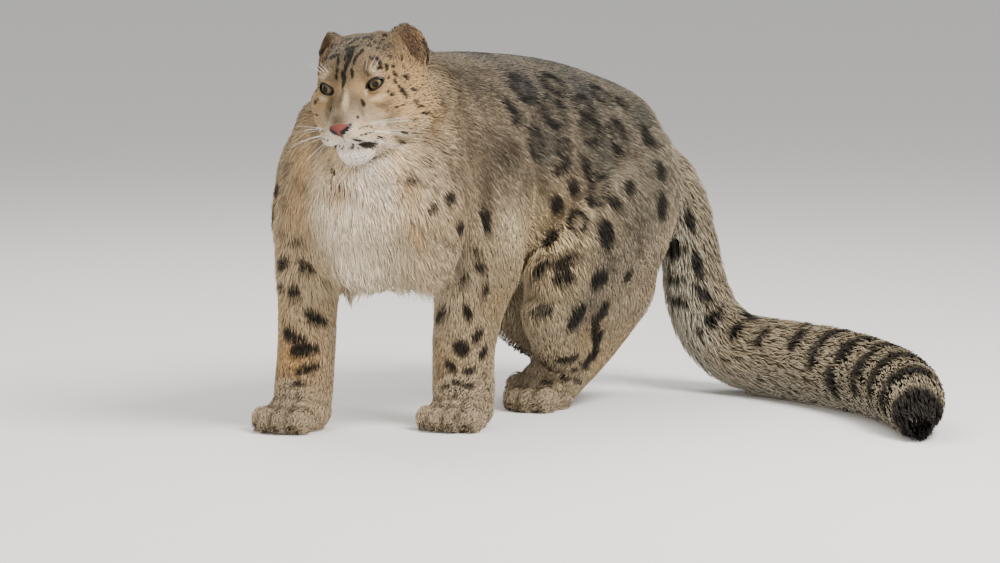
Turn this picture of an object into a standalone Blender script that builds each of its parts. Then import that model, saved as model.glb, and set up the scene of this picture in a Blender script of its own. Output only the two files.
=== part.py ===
"""A standing snow leopard, life size, as a still museum model in one-piece sections.

The animal faces -Y, its left side is +X, and the soles rest on Z = 0. Places on the
trunk and legs are given as (left, ahead, up) from the point on the floor between the
shoulders, with "ahead" measured along the bent spine. Places on the head are given the
same way from the middle of the skull. All sizes are in metres.
"""

import math

import bmesh
import bpy
from mathutils import Matrix, Vector, noise
from mathutils.bvhtree import BVHTree

# Driving dimensions of the whole animal.
SHOULDER_TO_HIP = 0.47
CHEST_HEADING = math.radians(15)
HIP_HEADING = math.radians(-15)
FOOTPRINT_MIDDLE = Vector((0.252, 0.197, 0.0))

# The head: where its middle is on the body, and how it is turned.
HEAD_PLACE = (0.027, 0.190, 0.510)
HEAD_HEADING = math.radians(22)
HEAD_PITCH = math.radians(10)
HEAD_ROLL = math.radians(7)

EYE_RADIUS = 0.0140
EYE_PLACE = (0.0370, 0.0460, 0.0205)
EYE_OUTWARD = math.radians(16)
LID_THICKNESS = 0.0036
LID_OPENING = (0.0126, 0.0088)
LID_SLANT = math.radians(14)
EAR_PLACE = (0.0660, -0.0240, 0.0500)
EAR_RADII = (0.0310, 0.0170, 0.0385)
EAR_HOLLOW = (0.0245, 0.0150, 0.0310)
EAR_OUTWARD = math.radians(40)
EAR_LEAN = math.radians(24)

# How finely the flesh is made and how far it is thinned out afterwards.
SKIN_STEP = 0.0032
BLEND_PASSES = 40
FLESH_TRIANGLES = 4500
GAP = 0.0003
MERGE = 0.00001
WORKSHOP = "workshop"

# Where the flesh is parted: heights, and how far back or ahead a cut stands.
WRIST_HEIGHT = 0.062
ELBOW_HEIGHT = 0.185
ARM_TOP = 0.31
FORELEGS_APART = 0.026
KNEE_CUT = (-0.34, 0.195, math.radians(3))
HEEL_CUT = (-0.270, 0.072, math.radians(-12))
THIGH_CUT = (-0.34, 0.365, math.radians(18))
THIGHS_APART = 0.046
NECK_CUT = (0.080, 0.475, math.radians(40))
HEAD_CUT = (0.0, -0.080, 0.050)
HEAD_CUT_TILT = math.radians(48)
HIPS_AHEAD = -0.34
LOIN_AHEAD = -0.13
LEG_REACH = 0.30
HALF = 0.40

# The long coat. Each kind of lock has its length, width, and lift off the core at its fullest.
LOCK_SEED = 7
LOCK_SECTION = 0.20
ROOT_SUNK = 0.010
LOCK_GAP = 0.0010
FLOOR_CLEARANCE = 0.001
BIB_LOCK = (0.105, 0.056, 0.015)
BELLY_LOCK = (0.090, 0.056, 0.014)
TAIL_LOCK = (0.135, 0.060, 0.013)
TAIL_CORE = 0.87
TAIL_LAID = 0.070
TAIL_LIFTS = 0.110
# Rows of the bib: height, half turn to the sides, and number of locks.
BIB_ROWS = (
    (0.445, math.radians(58), 5),
    (0.390, math.radians(64), 6),
    (0.335, math.radians(68), 7),
    (0.290, math.radians(58), 6),
)
BIB_TURN = math.radians(10)
BELLY_FRONT = -0.06
BELLY_STEP = 0.085
BELLY_ROWS = 4
BELLY_COUNT = 5
BELLY_REACH = math.radians(56)
TAIL_FIRST_RING = 0.09
TAIL_RING_STEP = 0.094
TAIL_COUNT = 5

COAT = (0.46, 0.41, 0.33, 1.0)
PALE_COAT = (0.72, 0.66, 0.55, 1.0)
TAIL_COAT = (0.55, 0.51, 0.43, 1.0)
EYE_COLOUR = (0.42, 0.40, 0.27, 1.0)


def clear_scene():
    for item in list(bpy.data.objects):
        bpy.data.objects.remove(item)


def make_collection(name):
    made = bpy.data.collections.new(name)
    bpy.context.scene.collection.children.link(made)
    return made


def make_material(name, colour, roughness):
    made = bpy.data.materials.new(name)
    made.use_nodes = True
    shader = made.node_tree.nodes["Principled BSDF"]
    shader.inputs["Base Color"].default_value = colour
    shader.inputs["Roughness"].default_value = roughness
    shader.inputs["Metallic"].default_value = 0.0
    return made


# Places on the body


def spine(ahead):
    """The plan point of the spine this far ahead of the shoulders, and its heading."""
    bend = (CHEST_HEADING - HIP_HEADING) / SHOULDER_TO_HIP
    bent = min(max(ahead, -SHOULDER_TO_HIP), 0.0)
    heading = CHEST_HEADING + bend * bent
    x = -(math.cos(heading) - math.cos(CHEST_HEADING)) / bend
    y = -(math.sin(heading) - math.sin(CHEST_HEADING)) / bend
    straight = ahead - bent
    forward = Vector((math.sin(heading), -math.cos(heading), 0))
    return Vector((x, y, 0)) + forward * straight, heading


def on_body(left, ahead, up):
    point, heading = spine(ahead)
    across = Vector((math.cos(heading), math.sin(heading), 0))
    return point + across * left + Vector((0, 0, up))


def head_matrix():
    """Turns (left, ahead, up) places on the head into places in the scene."""
    forward = Vector((math.sin(HEAD_HEADING), -math.cos(HEAD_HEADING), 0))
    left = Vector((math.cos(HEAD_HEADING), math.sin(HEAD_HEADING), 0))
    up = Vector((0, 0, 1))
    ahead = forward * math.cos(HEAD_PITCH) - up * math.sin(HEAD_PITCH)
    crown = up * math.cos(HEAD_PITCH) + forward * math.sin(HEAD_PITCH)
    side = left * math.cos(HEAD_ROLL) + crown * math.sin(HEAD_ROLL)
    crown = crown * math.cos(HEAD_ROLL) - left * math.sin(HEAD_ROLL)
    turned = Matrix((side, ahead, crown)).transposed().to_4x4()
    return Matrix.Translation(on_body(*HEAD_PLACE)) @ turned


def on_head(left, ahead, up):
    return head_matrix() @ Vector((left, ahead, up))


# Shapes


def smooth_path(stations, steps):
    """A Catmull-Rom curve through stations, each a tuple of numbers, with steps per span."""
    path = []
    last = len(stations) - 1
    for i in range(last):
        before = Vector(stations[max(i - 1, 0)])
        start = Vector(stations[i])
        end = Vector(stations[i + 1])
        after = Vector(stations[min(i + 2, last)])
        for k in range(steps):
            t = k / steps
            path.append(
                0.5 * (
                    2 * start
                    + (end - before) * t
                    + (2 * before - 5 * start + 4 * end - after) * t * t
                    + (3 * start - before - 3 * end + after) * t * t * t
                )
            )
    path.append(Vector(stations[-1]))
    return path


def domed(rings):
    """The rings with two smaller ones past each end, so that the tube ends in a dome."""
    front, back = [], []
    for ends, outer, inner in ((front, rings[0], rings[1]), (back, rings[-1], rings[-2])):
        centre, side, deep = outer
        out = (centre - inner[0]).normalized() * (side.length + deep.length) / 2
        for turn in (math.radians(32), math.radians(62)):
            small = math.cos(turn)
            ends.append((centre + out * math.sin(turn) * 0.9, side * small, deep * small))
    return front[::-1] + rings + back


def closed_object(name, bm):
    """An object with the bmesh's faces turned outwards, in the working collection."""
    bmesh.ops.recalc_face_normals(bm, faces=bm.faces)
    mesh = bpy.data.meshes.new(name)
    bm.to_mesh(mesh)
    bm.free()
    made = bpy.data.objects.new(name, mesh)
    bpy.data.collections[WORKSHOP].objects.link(made)
    return made


def loft(name, rings, sides):
    """A closed tube through rings of (centre, side vector, deep vector)."""
    bm = bmesh.new()
    loops = []
    for centre, side, deep in rings:
        loops.append([
            bm.verts.new(centre + side * math.cos(a) + deep * math.sin(a))
            for a in (2 * math.pi * k / sides for k in range(sides))
        ])
    for one, two in zip(loops, loops[1:]):
        for k in range(sides):
            n = (k + 1) % sides
            bm.faces.new((one[k], one[n], two[n], two[k]))
    bm.faces.new(loops[0])
    bm.faces.new(loops[-1])
    return closed_object(name, bm)


def limb(name, stations, steps=4, sides=20, across=None):
    """A tube along body places: (left, ahead, up, half across, half along)."""
    path = smooth_path(stations, steps)
    points = [on_body(*p[:3]) for p in path]
    rings = []
    for i, point in enumerate(points):
        run = points[min(i + 1, len(points) - 1)] - points[max(i - 1, 0)]
        heading = spine(path[i][1])[1]
        side = across or Vector((math.cos(heading), math.sin(heading), 0))
        deep = run.cross(side).normalized()
        flat = deep.cross(run).normalized()
        rings.append((point, flat * path[i][3], deep * path[i][4]))
    return loft(name, domed(rings), sides)


def ball(name, matrix, centre, radii, segments=24):
    """An ellipsoid at a place of the head or the body's matrix."""
    bm = bmesh.new()
    bmesh.ops.create_uvsphere(bm, u_segments=segments, v_segments=segments // 2, radius=1)
    shape = matrix @ Matrix.Translation(centre) @ Matrix.Diagonal((*radii, 1))
    bmesh.ops.transform(bm, matrix=shape, verts=bm.verts)
    return closed_object(name, bm)


def capsule(name, matrix, start, end, start_radius, end_radius):
    """A short tapered bar between two places of a matrix, with rounded ends."""
    parts = 5
    pieces = []
    for k in range(parts):
        t = k / (parts - 1)
        centre = Vector(start).lerp(Vector(end), t)
        radii = [a + (b - a) * t for a, b in zip(start_radius, end_radius)]
        pieces.append(ball(f"{name}_{k}", matrix, centre, radii))
    return pieces


# The flesh, as overlapping forms, from places on the body:
# (left, ahead, up, half across, half along or deep)


TRUNK = (
    (0.000, 0.170, 0.365, 0.075, 0.080),
    (0.000, 0.155, 0.368, 0.108, 0.118),
    (0.000, 0.110, 0.378, 0.132, 0.142),
    (0.000, 0.040, 0.390, 0.142, 0.163),
    (0.000, -0.060, 0.390, 0.144, 0.165),
    (0.000, -0.160, 0.384, 0.146, 0.165),
    (0.000, -0.260, 0.376, 0.144, 0.161),
    (0.000, -0.340, 0.364, 0.140, 0.152),
    (0.000, -0.410, 0.352, 0.134, 0.138),
    (0.000, -0.445, 0.342, 0.122, 0.117),
    (0.000, -0.480, 0.334, 0.098, 0.090),
    (0.000, -0.500, 0.326, 0.062, 0.058),
)

NECK = (
    (0.000, 0.010, 0.440, 0.112, 0.110),
    (0.005, 0.080, 0.465, 0.110, 0.112),
    (0.012, 0.140, 0.488, 0.098, 0.104),
    (0.020, 0.180, 0.508, 0.080, 0.086),
)

THROAT = (
    (0.020, 0.150, 0.480, 0.076, 0.060),
    (0.010, 0.150, 0.410, 0.096, 0.064),
    (0.000, 0.144, 0.330, 0.094, 0.062),
    (0.000, 0.124, 0.285, 0.074, 0.050),
)

BREAST = (
    (0.055, 0.114, 0.440, 0.082, 0.066),
    (0.050, 0.114, 0.360, 0.090, 0.072),
    (0.045, 0.104, 0.300, 0.080, 0.060),
)

FORELEG_LEFT = (
    (0.075, -0.050, 0.460, 0.045, 0.070),
    (0.098, -0.030, 0.390, 0.062, 0.088),
    (0.106, -0.015, 0.320, 0.062, 0.080),
    (0.096, -0.020, 0.250, 0.056, 0.067),
    (0.082, -0.008, 0.190, 0.053, 0.058),
    (0.078, 0.006, 0.115, 0.046, 0.049),
    (0.082, 0.012, 0.050, 0.047, 0.050),
)

FORELEG_RIGHT = (
    (-0.085, 0.050, 0.460, 0.045, 0.070),
    (-0.110, 0.085, 0.390, 0.062, 0.086),
    (-0.121, 0.110, 0.320, 0.056, 0.070),
    (-0.122, 0.120, 0.250, 0.048, 0.056),
    (-0.119, 0.130, 0.180, 0.044, 0.047),
    (-0.116, 0.140, 0.110, 0.043, 0.045),
    (-0.115, 0.150, 0.050, 0.044, 0.047),
)

THIGH = (
    (0.075, -0.425, 0.370, 0.055, 0.082),
    (0.098, -0.365, 0.315, 0.066, 0.100),
    (0.112, -0.285, 0.250, 0.062, 0.090),
    (0.110, -0.215, 0.205, 0.052, 0.068),
)
HAM = (
    (0.062, -0.465, 0.345, 0.048, 0.052),
    (0.084, -0.425, 0.285, 0.050, 0.053),
    (0.088, -0.412, 0.230, 0.038, 0.042),
    (0.085, -0.418, 0.190, 0.029, 0.033),
)
SHIN = (
    (0.108, -0.215, 0.192, 0.050, 0.060),
    (0.102, -0.270, 0.176, 0.048, 0.057),
    (0.093, -0.340, 0.175, 0.041, 0.047),
    (0.085, -0.405, 0.184, 0.030, 0.035),
)
SHIN_FUR = (
    (0.106, -0.204, 0.165, 0.046, 0.054),
    (0.096, -0.235, 0.122, 0.041, 0.050),
    (0.080, -0.275, 0.088, 0.037, 0.044),
)
HOCK_FUR = (
    (0.092, -0.335, 0.160, 0.038, 0.050),
    (0.078, -0.318, 0.110, 0.036, 0.046),
)
FOOT = (
    (0.083, -0.422, 0.182, 0.029, 0.031),
    (0.077, -0.375, 0.128, 0.031, 0.034),
    (0.069, -0.322, 0.082, 0.035, 0.037),
    (0.061, -0.272, 0.044, 0.041, 0.035),
)
HIND_STEP = 0.105

# Paws: where the paw rests, its heading, and its half width and length.
PAWS = (
    (0.086, 0.030, math.radians(20), 0.052, 0.056),
    (-0.114, 0.168, math.radians(8), 0.050, 0.056),
    (0.056, -0.245, math.radians(2), 0.046, 0.054),
    (-0.056, -0.245 - HIND_STEP, math.radians(-16), 0.046, 0.054),
)
TOES = ((-0.72, 0.60), (-0.26, 0.84), (0.24, 0.84), (0.72, 0.60))
TOE_RADII = (0.0165, 0.0225, 0.0200)

# The tail's places are (x, y, up, half across, half deep).
TAIL = (
    (0.008, 0.455, 0.372, 0.046, 0.040),
    (0.016, 0.505, 0.352, 0.048, 0.044),
    (0.022, 0.543, 0.300, 0.047, 0.046),
    (0.027, 0.563, 0.235, 0.046, 0.045),
    (0.033, 0.572, 0.170, 0.050, 0.050),
    (0.052, 0.583, 0.110, 0.055, 0.055),
    (0.092, 0.596, 0.073, 0.058, 0.058),
    (0.150, 0.604, 0.0615, 0.060, 0.0605),
    (0.240, 0.598, 0.0600, 0.060, 0.0600),
    (0.335, 0.578, 0.0590, 0.060, 0.0590),
    (0.430, 0.545, 0.0570, 0.058, 0.0570),
    (0.518, 0.498, 0.0540, 0.055, 0.0540),
    (0.588, 0.444, 0.0480, 0.048, 0.0480),
    (0.636, 0.398, 0.0400, 0.037, 0.0390),
)
TAIL_ROOT = (
    (0.000, -0.430, 0.385, 0.060, 0.055),
    (0.000, -0.480, 0.368, 0.056, 0.052),
    (0.000, -0.520, 0.335, 0.049, 0.047),
)


def hind_form(name, stations, side):
    """A form of a hind leg; the right leg mirrors the left one, its foot a step behind."""
    if side > 0:
        return limb(name, stations)
    mirrored = []
    for left, ahead, up, *sizes in stations:
        step = HIND_STEP * min(1.0, (0.40 - up) / 0.22)
        mirrored.append((-left, ahead - step, up, *sizes))
    return limb(name, mirrored)


def tail_form(name, sides=16, steps=3):
    path = smooth_path(TAIL, steps)
    points = [Vector(p[:3]) for p in path]
    rings = []
    side = Vector((1, 0, 0))
    for i, point in enumerate(points):
        run = (points[min(i + 1, len(points) - 1)] - points[max(i - 1, 0)]).normalized()
        side = (side - run * side.dot(run)).normalized()
        wide, deep = path[i][3] * TAIL_CORE, path[i][4] * TAIL_CORE
        laid = min(1.0, max(0.0, (TAIL_LIFTS - point.z) / (TAIL_LIFTS - TAIL_LAID)))
        sunk = Vector((0, 0, -laid * (path[i][4] - deep)))
        rings.append((point + sunk, side * wide, run.cross(side) * deep))
    return loft(name, domed(rings), sides)


def paw_forms(left, ahead, heading, half_width, half_length):
    centre = on_body(left, ahead, 0)
    turn = Matrix.Translation(centre) @ Matrix.Rotation(heading, 4, "Z")
    forms = [
        ball("pad", turn, (0, 0.006, 0.028), (half_width * 0.92, half_length * 0.92, 0.034)),
        ball("instep", turn, (0, 0.016, 0.050), (half_width * 0.84, half_length * 0.76, 0.032)),
    ]
    for across, forward in TOES:
        place = (across * half_width, -forward * half_length, 0.019)
        forms.append(ball("toe", turn, place, TOE_RADII))
    return forms


def head_forms():
    """The skull, brows, cheeks, muzzle and chin, as overlapping balls and bars."""
    m = head_matrix()
    forms = [
        ball("cranium", m, (0, -0.018, 0.014), (0.076, 0.084, 0.066)),
        ball("forehead", m, (0, 0.022, 0.034), (0.054, 0.042, 0.044)),
        ball("crown", m, (0, -0.012, 0.050), (0.060, 0.052, 0.036)),
        ball("muzzle", m, (0, 0.066, -0.034), (0.040, 0.046, 0.030)),
        ball("chin", m, (0, 0.082, -0.067), (0.024, 0.024, 0.0175)),
        ball("jaw", m, (0, 0.036, -0.056), (0.047, 0.054, 0.030)),
        ball("upper_lip", m, (0, 0.100, -0.046), (0.018, 0.0150, 0.012)),
        ball("nose_tip", m, (0, 0.110, -0.0265), (0.0195, 0.0145, 0.0125)),
    ]
    for side in (-1, 1):
        forms += [
            ball("cheek", m, (side * 0.050, -0.006, -0.028), (0.044, 0.056, 0.054)),
            ball("cheekbone", m, (side * 0.046, 0.028, -0.006), (0.034, 0.032, 0.030)),
            ball("brow", m, (side * 0.033, 0.040, 0.042), (0.024, 0.022, 0.014)),
            ball("whisker_pad", m, (side * 0.0205, 0.092, -0.0405), (0.0215, 0.0240, 0.0190)),
            ball("lids", m, lid_centre(side), (EYE_RADIUS + LID_THICKNESS,) * 3),
        ]
    forms += capsule(
        "nose_bridge", m, (0, 0.046, 0.028), (0, 0.100, -0.016),
        (0.025, 0.020, 0.020), (0.0205, 0.018, 0.016),
    )
    return forms


def lid_centre(side):
    return (side * EYE_PLACE[0], EYE_PLACE[1], EYE_PLACE[2])


def flesh_forms():
    forms = [
        limb("trunk", TRUNK, sides=28),
        limb("neck", NECK, sides=24),
        limb("throat", THROAT, sides=24),
        limb("breast_left", BREAST),
        limb("breast_right", [(-a, *rest) for a, *rest in BREAST]),
        limb("tail_root", TAIL_ROOT),
        limb("foreleg_left", FORELEG_LEFT),
        limb("foreleg_right", FORELEG_RIGHT),
    ]
    for side in (1, -1):
        forms += [
            hind_form("thigh", THIGH, side),
            hind_form("ham", HAM, side),
            hind_form("shin", SHIN, side),
            hind_form("shin_fur", SHIN_FUR, side),
            hind_form("hock_fur", HOCK_FUR, side),
            hind_form("foot", FOOT, side),
        ]
    for sizes in PAWS:
        forms += paw_forms(*sizes)
    return forms + head_forms()


def joined(name, objects):
    """One object that holds the meshes of these, which are removed."""
    bm = bmesh.new()
    for item in objects:
        bm.from_mesh(item.data)
        bpy.data.objects.remove(item)
    return closed_object(name, bm)


def apply_all(item):
    """Puts the object's evaluated mesh in place of its mesh, with no modifier left."""
    graph = bpy.context.evaluated_depsgraph_get()
    made = bpy.data.meshes.new_from_object(item.evaluated_get(graph))
    item.modifiers.clear()
    item.data = made


def softness(point, head_inverse):
    """How far the flesh is smoothed here: fully on the trunk, little on head and paws."""
    on_skull = (head_inverse @ point - Vector((0, 0.030, 0))).length
    if on_skull < 0.150:
        return 0.20 + 0.80 * max(0.0, (on_skull - 0.105) / 0.045)
    if point.z < 0.26:
        return 0.12 + 0.55 * min(1.0, max(0.0, point.z - 0.05) / 0.21)
    return 0.67 + 0.33 * min(1.0, (point.z - 0.26) / 0.06)


def fused_flesh():
    """All the forms as one smooth closed surface."""
    flesh = joined("flesh", flesh_forms())
    remesh = flesh.modifiers.new("fuse", "REMESH")
    remesh.mode = "VOXEL"
    remesh.voxel_size = SKIN_STEP
    apply_all(flesh)
    group = flesh.vertex_groups.new(name="soft")
    inverse = head_matrix().inverted()
    for vertex in flesh.data.vertices:
        group.add([vertex.index], softness(vertex.co, inverse), "REPLACE")
    smooth = flesh.modifiers.new("blend", "SMOOTH")
    smooth.factor = 0.5
    smooth.iterations = BLEND_PASSES
    smooth.vertex_group = "soft"
    apply_all(flesh)
    count = sum(len(p.vertices) - 2 for p in flesh.data.polygons)
    group = flesh.vertex_groups.new(name="plain")
    for vertex in flesh.data.vertices:
        off_face = (inverse @ vertex.co - Vector((0, 0.060, -0.010))).length
        plain = min(1.0, 0.2 + off_face / 0.110)
        if vertex.co.z < 0.070:
            plain = 0.55
        group.add([vertex.index], plain, "REPLACE")
    thin = flesh.modifiers.new("thin", "DECIMATE")
    thin.ratio = FLESH_TRIANGLES / count
    thin.vertex_group = "plain"
    thin.vertex_group_factor = 0.25
    apply_all(flesh)
    flatten_soles(flesh)
    return flesh


def flatten_soles(item):
    """Cuts off what is below the floor, so that each paw stands on a flat."""
    bm = bmesh.new()
    bm.from_mesh(item.data)
    whole = bm.verts[:] + bm.edges[:] + bm.faces[:]
    cut = bmesh.ops.bisect_plane(
        bm, geom=whole, plane_co=(0, 0, 0), plane_no=(0, 0, 1), clear_inner=True,
    )
    edges = [e for e in cut["geom_cut"] if isinstance(e, bmesh.types.BMEdge)]
    bmesh.ops.holes_fill(bm, edges=edges)
    bmesh.ops.triangulate(bm, faces=[f for f in bm.faces if len(f.verts) > 4])
    bm.to_mesh(item.data)
    bm.free()


# Cutters, and the parting of the flesh into nodes


def cutter_object(name, bm):
    made = closed_object(name, bm)
    made.hide_render = True
    made.display_type = "WIRE"
    return made


def block(name, frame, low, high, grow=0.0):
    """A box between two corners of a frame's space, grown on every side."""
    bm = bmesh.new()
    bmesh.ops.create_cube(bm, size=1)
    low = Vector(low) - Vector((grow,) * 3)
    high = Vector(high) + Vector((grow,) * 3)
    size = Matrix.Diagonal((*(high - low), 1))
    shape = frame @ Matrix.Translation((low + high) / 2) @ size
    bmesh.ops.transform(bm, matrix=shape, verts=bm.verts)
    return cutter_object(name, bm)


def body_frame(ahead, up, tilt=0.0, lean=0.0):
    """A frame at a place over the spine: x left, y behind, z up, then tilted and leaned."""
    point, heading = spine(ahead)
    place = Matrix.Translation(point + Vector((0, 0, up))) @ Matrix.Rotation(heading, 4, "Z")
    return place @ Matrix.Rotation(tilt, 4, "X") @ Matrix.Rotation(lean, 4, "Y")


def boolean(item, cutter, operation):
    """The item's mesh after one Boolean with the cutter, which stays."""
    change = item.modifiers.new(operation.lower(), "BOOLEAN")
    change.operation = operation
    change.object = cutter
    apply_all(item)


def keep_largest(item, merge=MERGE):
    """Keeps the largest closed surface of a mesh, after merging points that coincide."""
    bm = bmesh.new()
    bm.from_mesh(item.data)
    if merge:
        bmesh.ops.remove_doubles(bm, verts=bm.verts, dist=merge)
    left = set(bm.verts)
    islands = []
    while left:
        front = [left.pop()]
        island = list(front)
        while front:
            vertex = front.pop()
            for edge in vertex.link_edges:
                other = edge.other_vert(vertex)
                if other in left:
                    left.remove(other)
                    front.append(other)
                    island.append(other)
        islands.append(island)
    islands.sort(key=len)
    spare = [v for island in islands[:-1] for v in island]
    bmesh.ops.delete(bm, geom=spare, context="VERTS")
    bm.to_mesh(item.data)
    bm.free()


def copy_of(item, name):
    made = bpy.data.objects.new(name, item.data.copy())
    bpy.data.collections[WORKSHOP].objects.link(made)
    return made


def split_off(rest, name, frame, low, high):
    """Parts from the rest the piece inside a block, with a narrow gap round it."""
    inner = block("inner", frame, low, high)
    outer = block("outer", frame, low, high, GAP)
    piece = copy_of(rest, name)
    boolean(piece, inner, "INTERSECT")
    boolean(rest, outer, "DIFFERENCE")
    keep_largest(piece)
    keep_largest(rest)
    for cutter in (inner, outer):
        bpy.data.objects.remove(cutter)
    return piece


def grown(item):
    """A copy of the item that stands out by the gap on every side, as a cutter."""
    made = copy_of(item, "grown")
    made.hide_render = True
    made.display_type = "WIRE"
    swell = made.modifiers.new("swell", "DISPLACE")
    swell.mid_level = 0.0
    swell.strength = GAP * 1.2
    apply_all(made)
    return made


def clear_of(item, *others):
    """Cuts the item back from each of the others, with a narrow gap."""
    for other in others:
        cutter = grown(other)
        boolean(item, cutter, "DIFFERENCE")
        bpy.data.objects.remove(cutter)
    keep_largest(item)


def part_body(flesh):
    """The flesh parted into the head, neck, trunk and leg nodes."""
    head_plane = Matrix.Translation(on_head(*HEAD_CUT))
    head_plane = head_plane @ Matrix.Rotation(HEAD_HEADING, 4, "Z")
    head_plane = head_plane @ Matrix.Rotation(HEAD_CUT_TILT, 4, "X")
    pieces = {}
    pieces["head"] = split_off(
        flesh, "head", head_plane, (-HALF / 2, -HALF, 0.0), (HALF / 2, HALF, 0.5))

    for name, sign, ahead in (("left", 1, 0.0), ("right", -1, 0.13)):
        frame = body_frame(ahead, 0.0)
        low, high = sorted((0.0, sign * LEG_REACH))
        forearm = split_off(
            flesh, f"forearm_{name}", frame, (low, -0.2, -0.1), (high, 0.105, ELBOW_HEIGHT))
        paw = split_off(
            forearm, f"forepaw_{name}", frame, (-HALF, -0.2, -0.1), (HALF, 0.2, WRIST_HEIGHT))
        low, high = sorted((sign * FORELEGS_APART, sign * LEG_REACH))
        upper = split_off(
            flesh, f"upper_arm_{name}", frame, (low, -0.09, 0.0), (high, 0.105, ARM_TOP))
        for piece in (upper, forearm, paw):
            pieces[piece.name] = piece

    for name, sign, step in (("left", 1, 0.0), ("right", -1, HIND_STEP)):
        low, high = sorted((0.0, sign * LEG_REACH))
        frame = body_frame(KNEE_CUT[0] - step, *KNEE_CUT[1:])
        shank = split_off(
            flesh, f"shank_{name}", frame, (low, -0.3, -HALF), (high, 0.3, 0.0))
        frame = body_frame(HEEL_CUT[0] - step, *HEEL_CUT[1:])
        foot = split_off(
            shank, f"hind_paw_{name}", frame, (-HALF, -0.3, -HALF), (HALF, 0.3, 0.0))
        low, high = sorted((sign * THIGHS_APART, sign * LEG_REACH))
        frame = body_frame(THIGH_CUT[0] - step, *THIGH_CUT[1:])
        thigh = split_off(
            flesh, f"thigh_{name}", frame, (low, -0.34, -0.6), (high, 0.28, 0.0))
        for piece in (thigh, shank, foot):
            pieces[piece.name] = piece

    neck_frame = body_frame(*NECK_CUT)
    pieces["neck"] = split_off(flesh, "neck", neck_frame, (-HALF, -HALF, 0.0), (HALF, HALF, HALF))
    for name, ahead in (("hips", HIPS_AHEAD), ("loin", LOIN_AHEAD)):
        frame = body_frame(ahead, 0.0)
        pieces[name] = split_off(flesh, name, frame, (-HALF, 0.0, -0.1), (HALF, HALF, 0.8))
    pieces["chest"] = flesh
    flesh.name = "chest"
    return pieces


# The face's cuts, the eyes and the ears


def eye_frame(side):
    """The eye's own frame: y runs back into the head, z up, and x to the outer corner."""
    m = head_matrix()
    centre = m @ Vector(lid_centre(side))
    out = math.sin(EYE_OUTWARD) * side
    back = -(m.to_3x3() @ Vector((out, math.cos(EYE_OUTWARD), 0.04))).normalized()
    outer = (m.to_3x3() @ Vector((side * math.cos(LID_SLANT), 0, math.sin(LID_SLANT))))
    outer = (outer - back * outer.dot(back)).normalized()
    up = back.cross(outer) * side
    if up.z < 0:
        up = -up
    frame = Matrix((outer, back, up)).transposed().to_4x4()
    return Matrix.Translation(centre) @ frame


def almond(name, frame, half_width, half_height, near, far, sides=18):
    """A bar of almond section along the frame's y, between two distances."""
    across, up = frame.col[0].xyz, frame.col[2].xyz
    bm = bmesh.new()
    loops = []
    for distance in (near, far):
        middle = frame.translation + frame.col[1].xyz * distance
        ring = []
        for k in range(sides):
            a = 2 * math.pi * k / sides
            high = math.sin(a) * (1 - 0.45 * math.cos(a) ** 4)
            ring.append(bm.verts.new(
                middle + across * half_width * math.cos(a) + up * half_height * high
            ))
        loops.append(ring)
    for k in range(sides):
        n = (k + 1) % sides
        bm.faces.new((loops[0][k], loops[0][n], loops[1][n], loops[1][k]))
    bm.faces.new(loops[0])
    bm.faces.new(loops[1])
    return cutter_object(name, bm)


def groove(name, matrix, points, depth, half_width):
    """A bar of diamond section along places of a matrix, its edge pointing inwards."""
    m = matrix
    places = [m @ Vector(p[:3]) for p in points]
    outs = [(m.to_3x3() @ Vector(p[3:])).normalized() for p in points]
    rings = []
    for i, place in enumerate(places):
        run = places[min(i + 1, len(places) - 1)] - places[max(i - 1, 0)]
        out = outs[i]
        wide = run.cross(out).normalized()
        rings.append((place, out * depth, wide * half_width))
    made = loft(name, rings, 4)
    made.hide_render = True
    made.display_type = "WIRE"
    return made


# The line of the lips, from the middle to the left corner: place, then the way out.
LIP_LINE = (
    (0.000, 0.1140, -0.0500, 0.0, 1.0, -0.3),
    (0.009, 0.1130, -0.0540, 0.2, 1.0, -0.3),
    (0.019, 0.1070, -0.0570, 0.5, 0.9, -0.3),
    (0.028, 0.0950, -0.0585, 0.8, 0.6, -0.3),
    (0.035, 0.0800, -0.0590, 1.0, 0.3, -0.2),
    (0.039, 0.0660, -0.0605, 1.0, 0.2, -0.2),
)
LIP_DEPTH = 0.0090
LIP_HALF_WIDTH = 0.0019


def cut_face(head):
    m = head_matrix()
    cutters = []
    for side in (-1, 1):
        frame = eye_frame(side)
        room = EYE_RADIUS + GAP
        socket = ball("socket", Matrix.Translation(frame.translation), (0, 0, 0), (room,) * 3, 22)
        opening = almond("opening", frame, *LID_OPENING, -0.030, -0.002)
        nostril = ball("nostril", m, (side * 0.0085, 0.1225, -0.0285), (0.0048, 0.0080, 0.0032), 14)
        cutters += [socket, opening, nostril]
    mirrored = [(-x, y, z, -u, v, w) for x, y, z, u, v, w in LIP_LINE[:0:-1]]
    path = smooth_path(mirrored + list(LIP_LINE), 3)
    cutters.append(groove("lips", m, path, LIP_DEPTH, LIP_HALF_WIDTH))
    philtrum = ((0, 0.1235, -0.0370, 0, 1, -0.1), (0, 0.1180, -0.0440, 0, 1, -0.3),
                (0, 0.1130, -0.0510, 0, 1, -0.3))
    cutters.append(groove("philtrum", m, philtrum, 0.0040, 0.0010))
    for cutter in cutters:
        boolean(head, cutter, "DIFFERENCE")
        bpy.data.objects.remove(cutter)
    keep_largest(head)


def eye(name, side):
    frame = eye_frame(side)
    return ball(name, Matrix.Translation(frame.translation), (0, 0, 0), (EYE_RADIUS,) * 3, 18)


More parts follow.
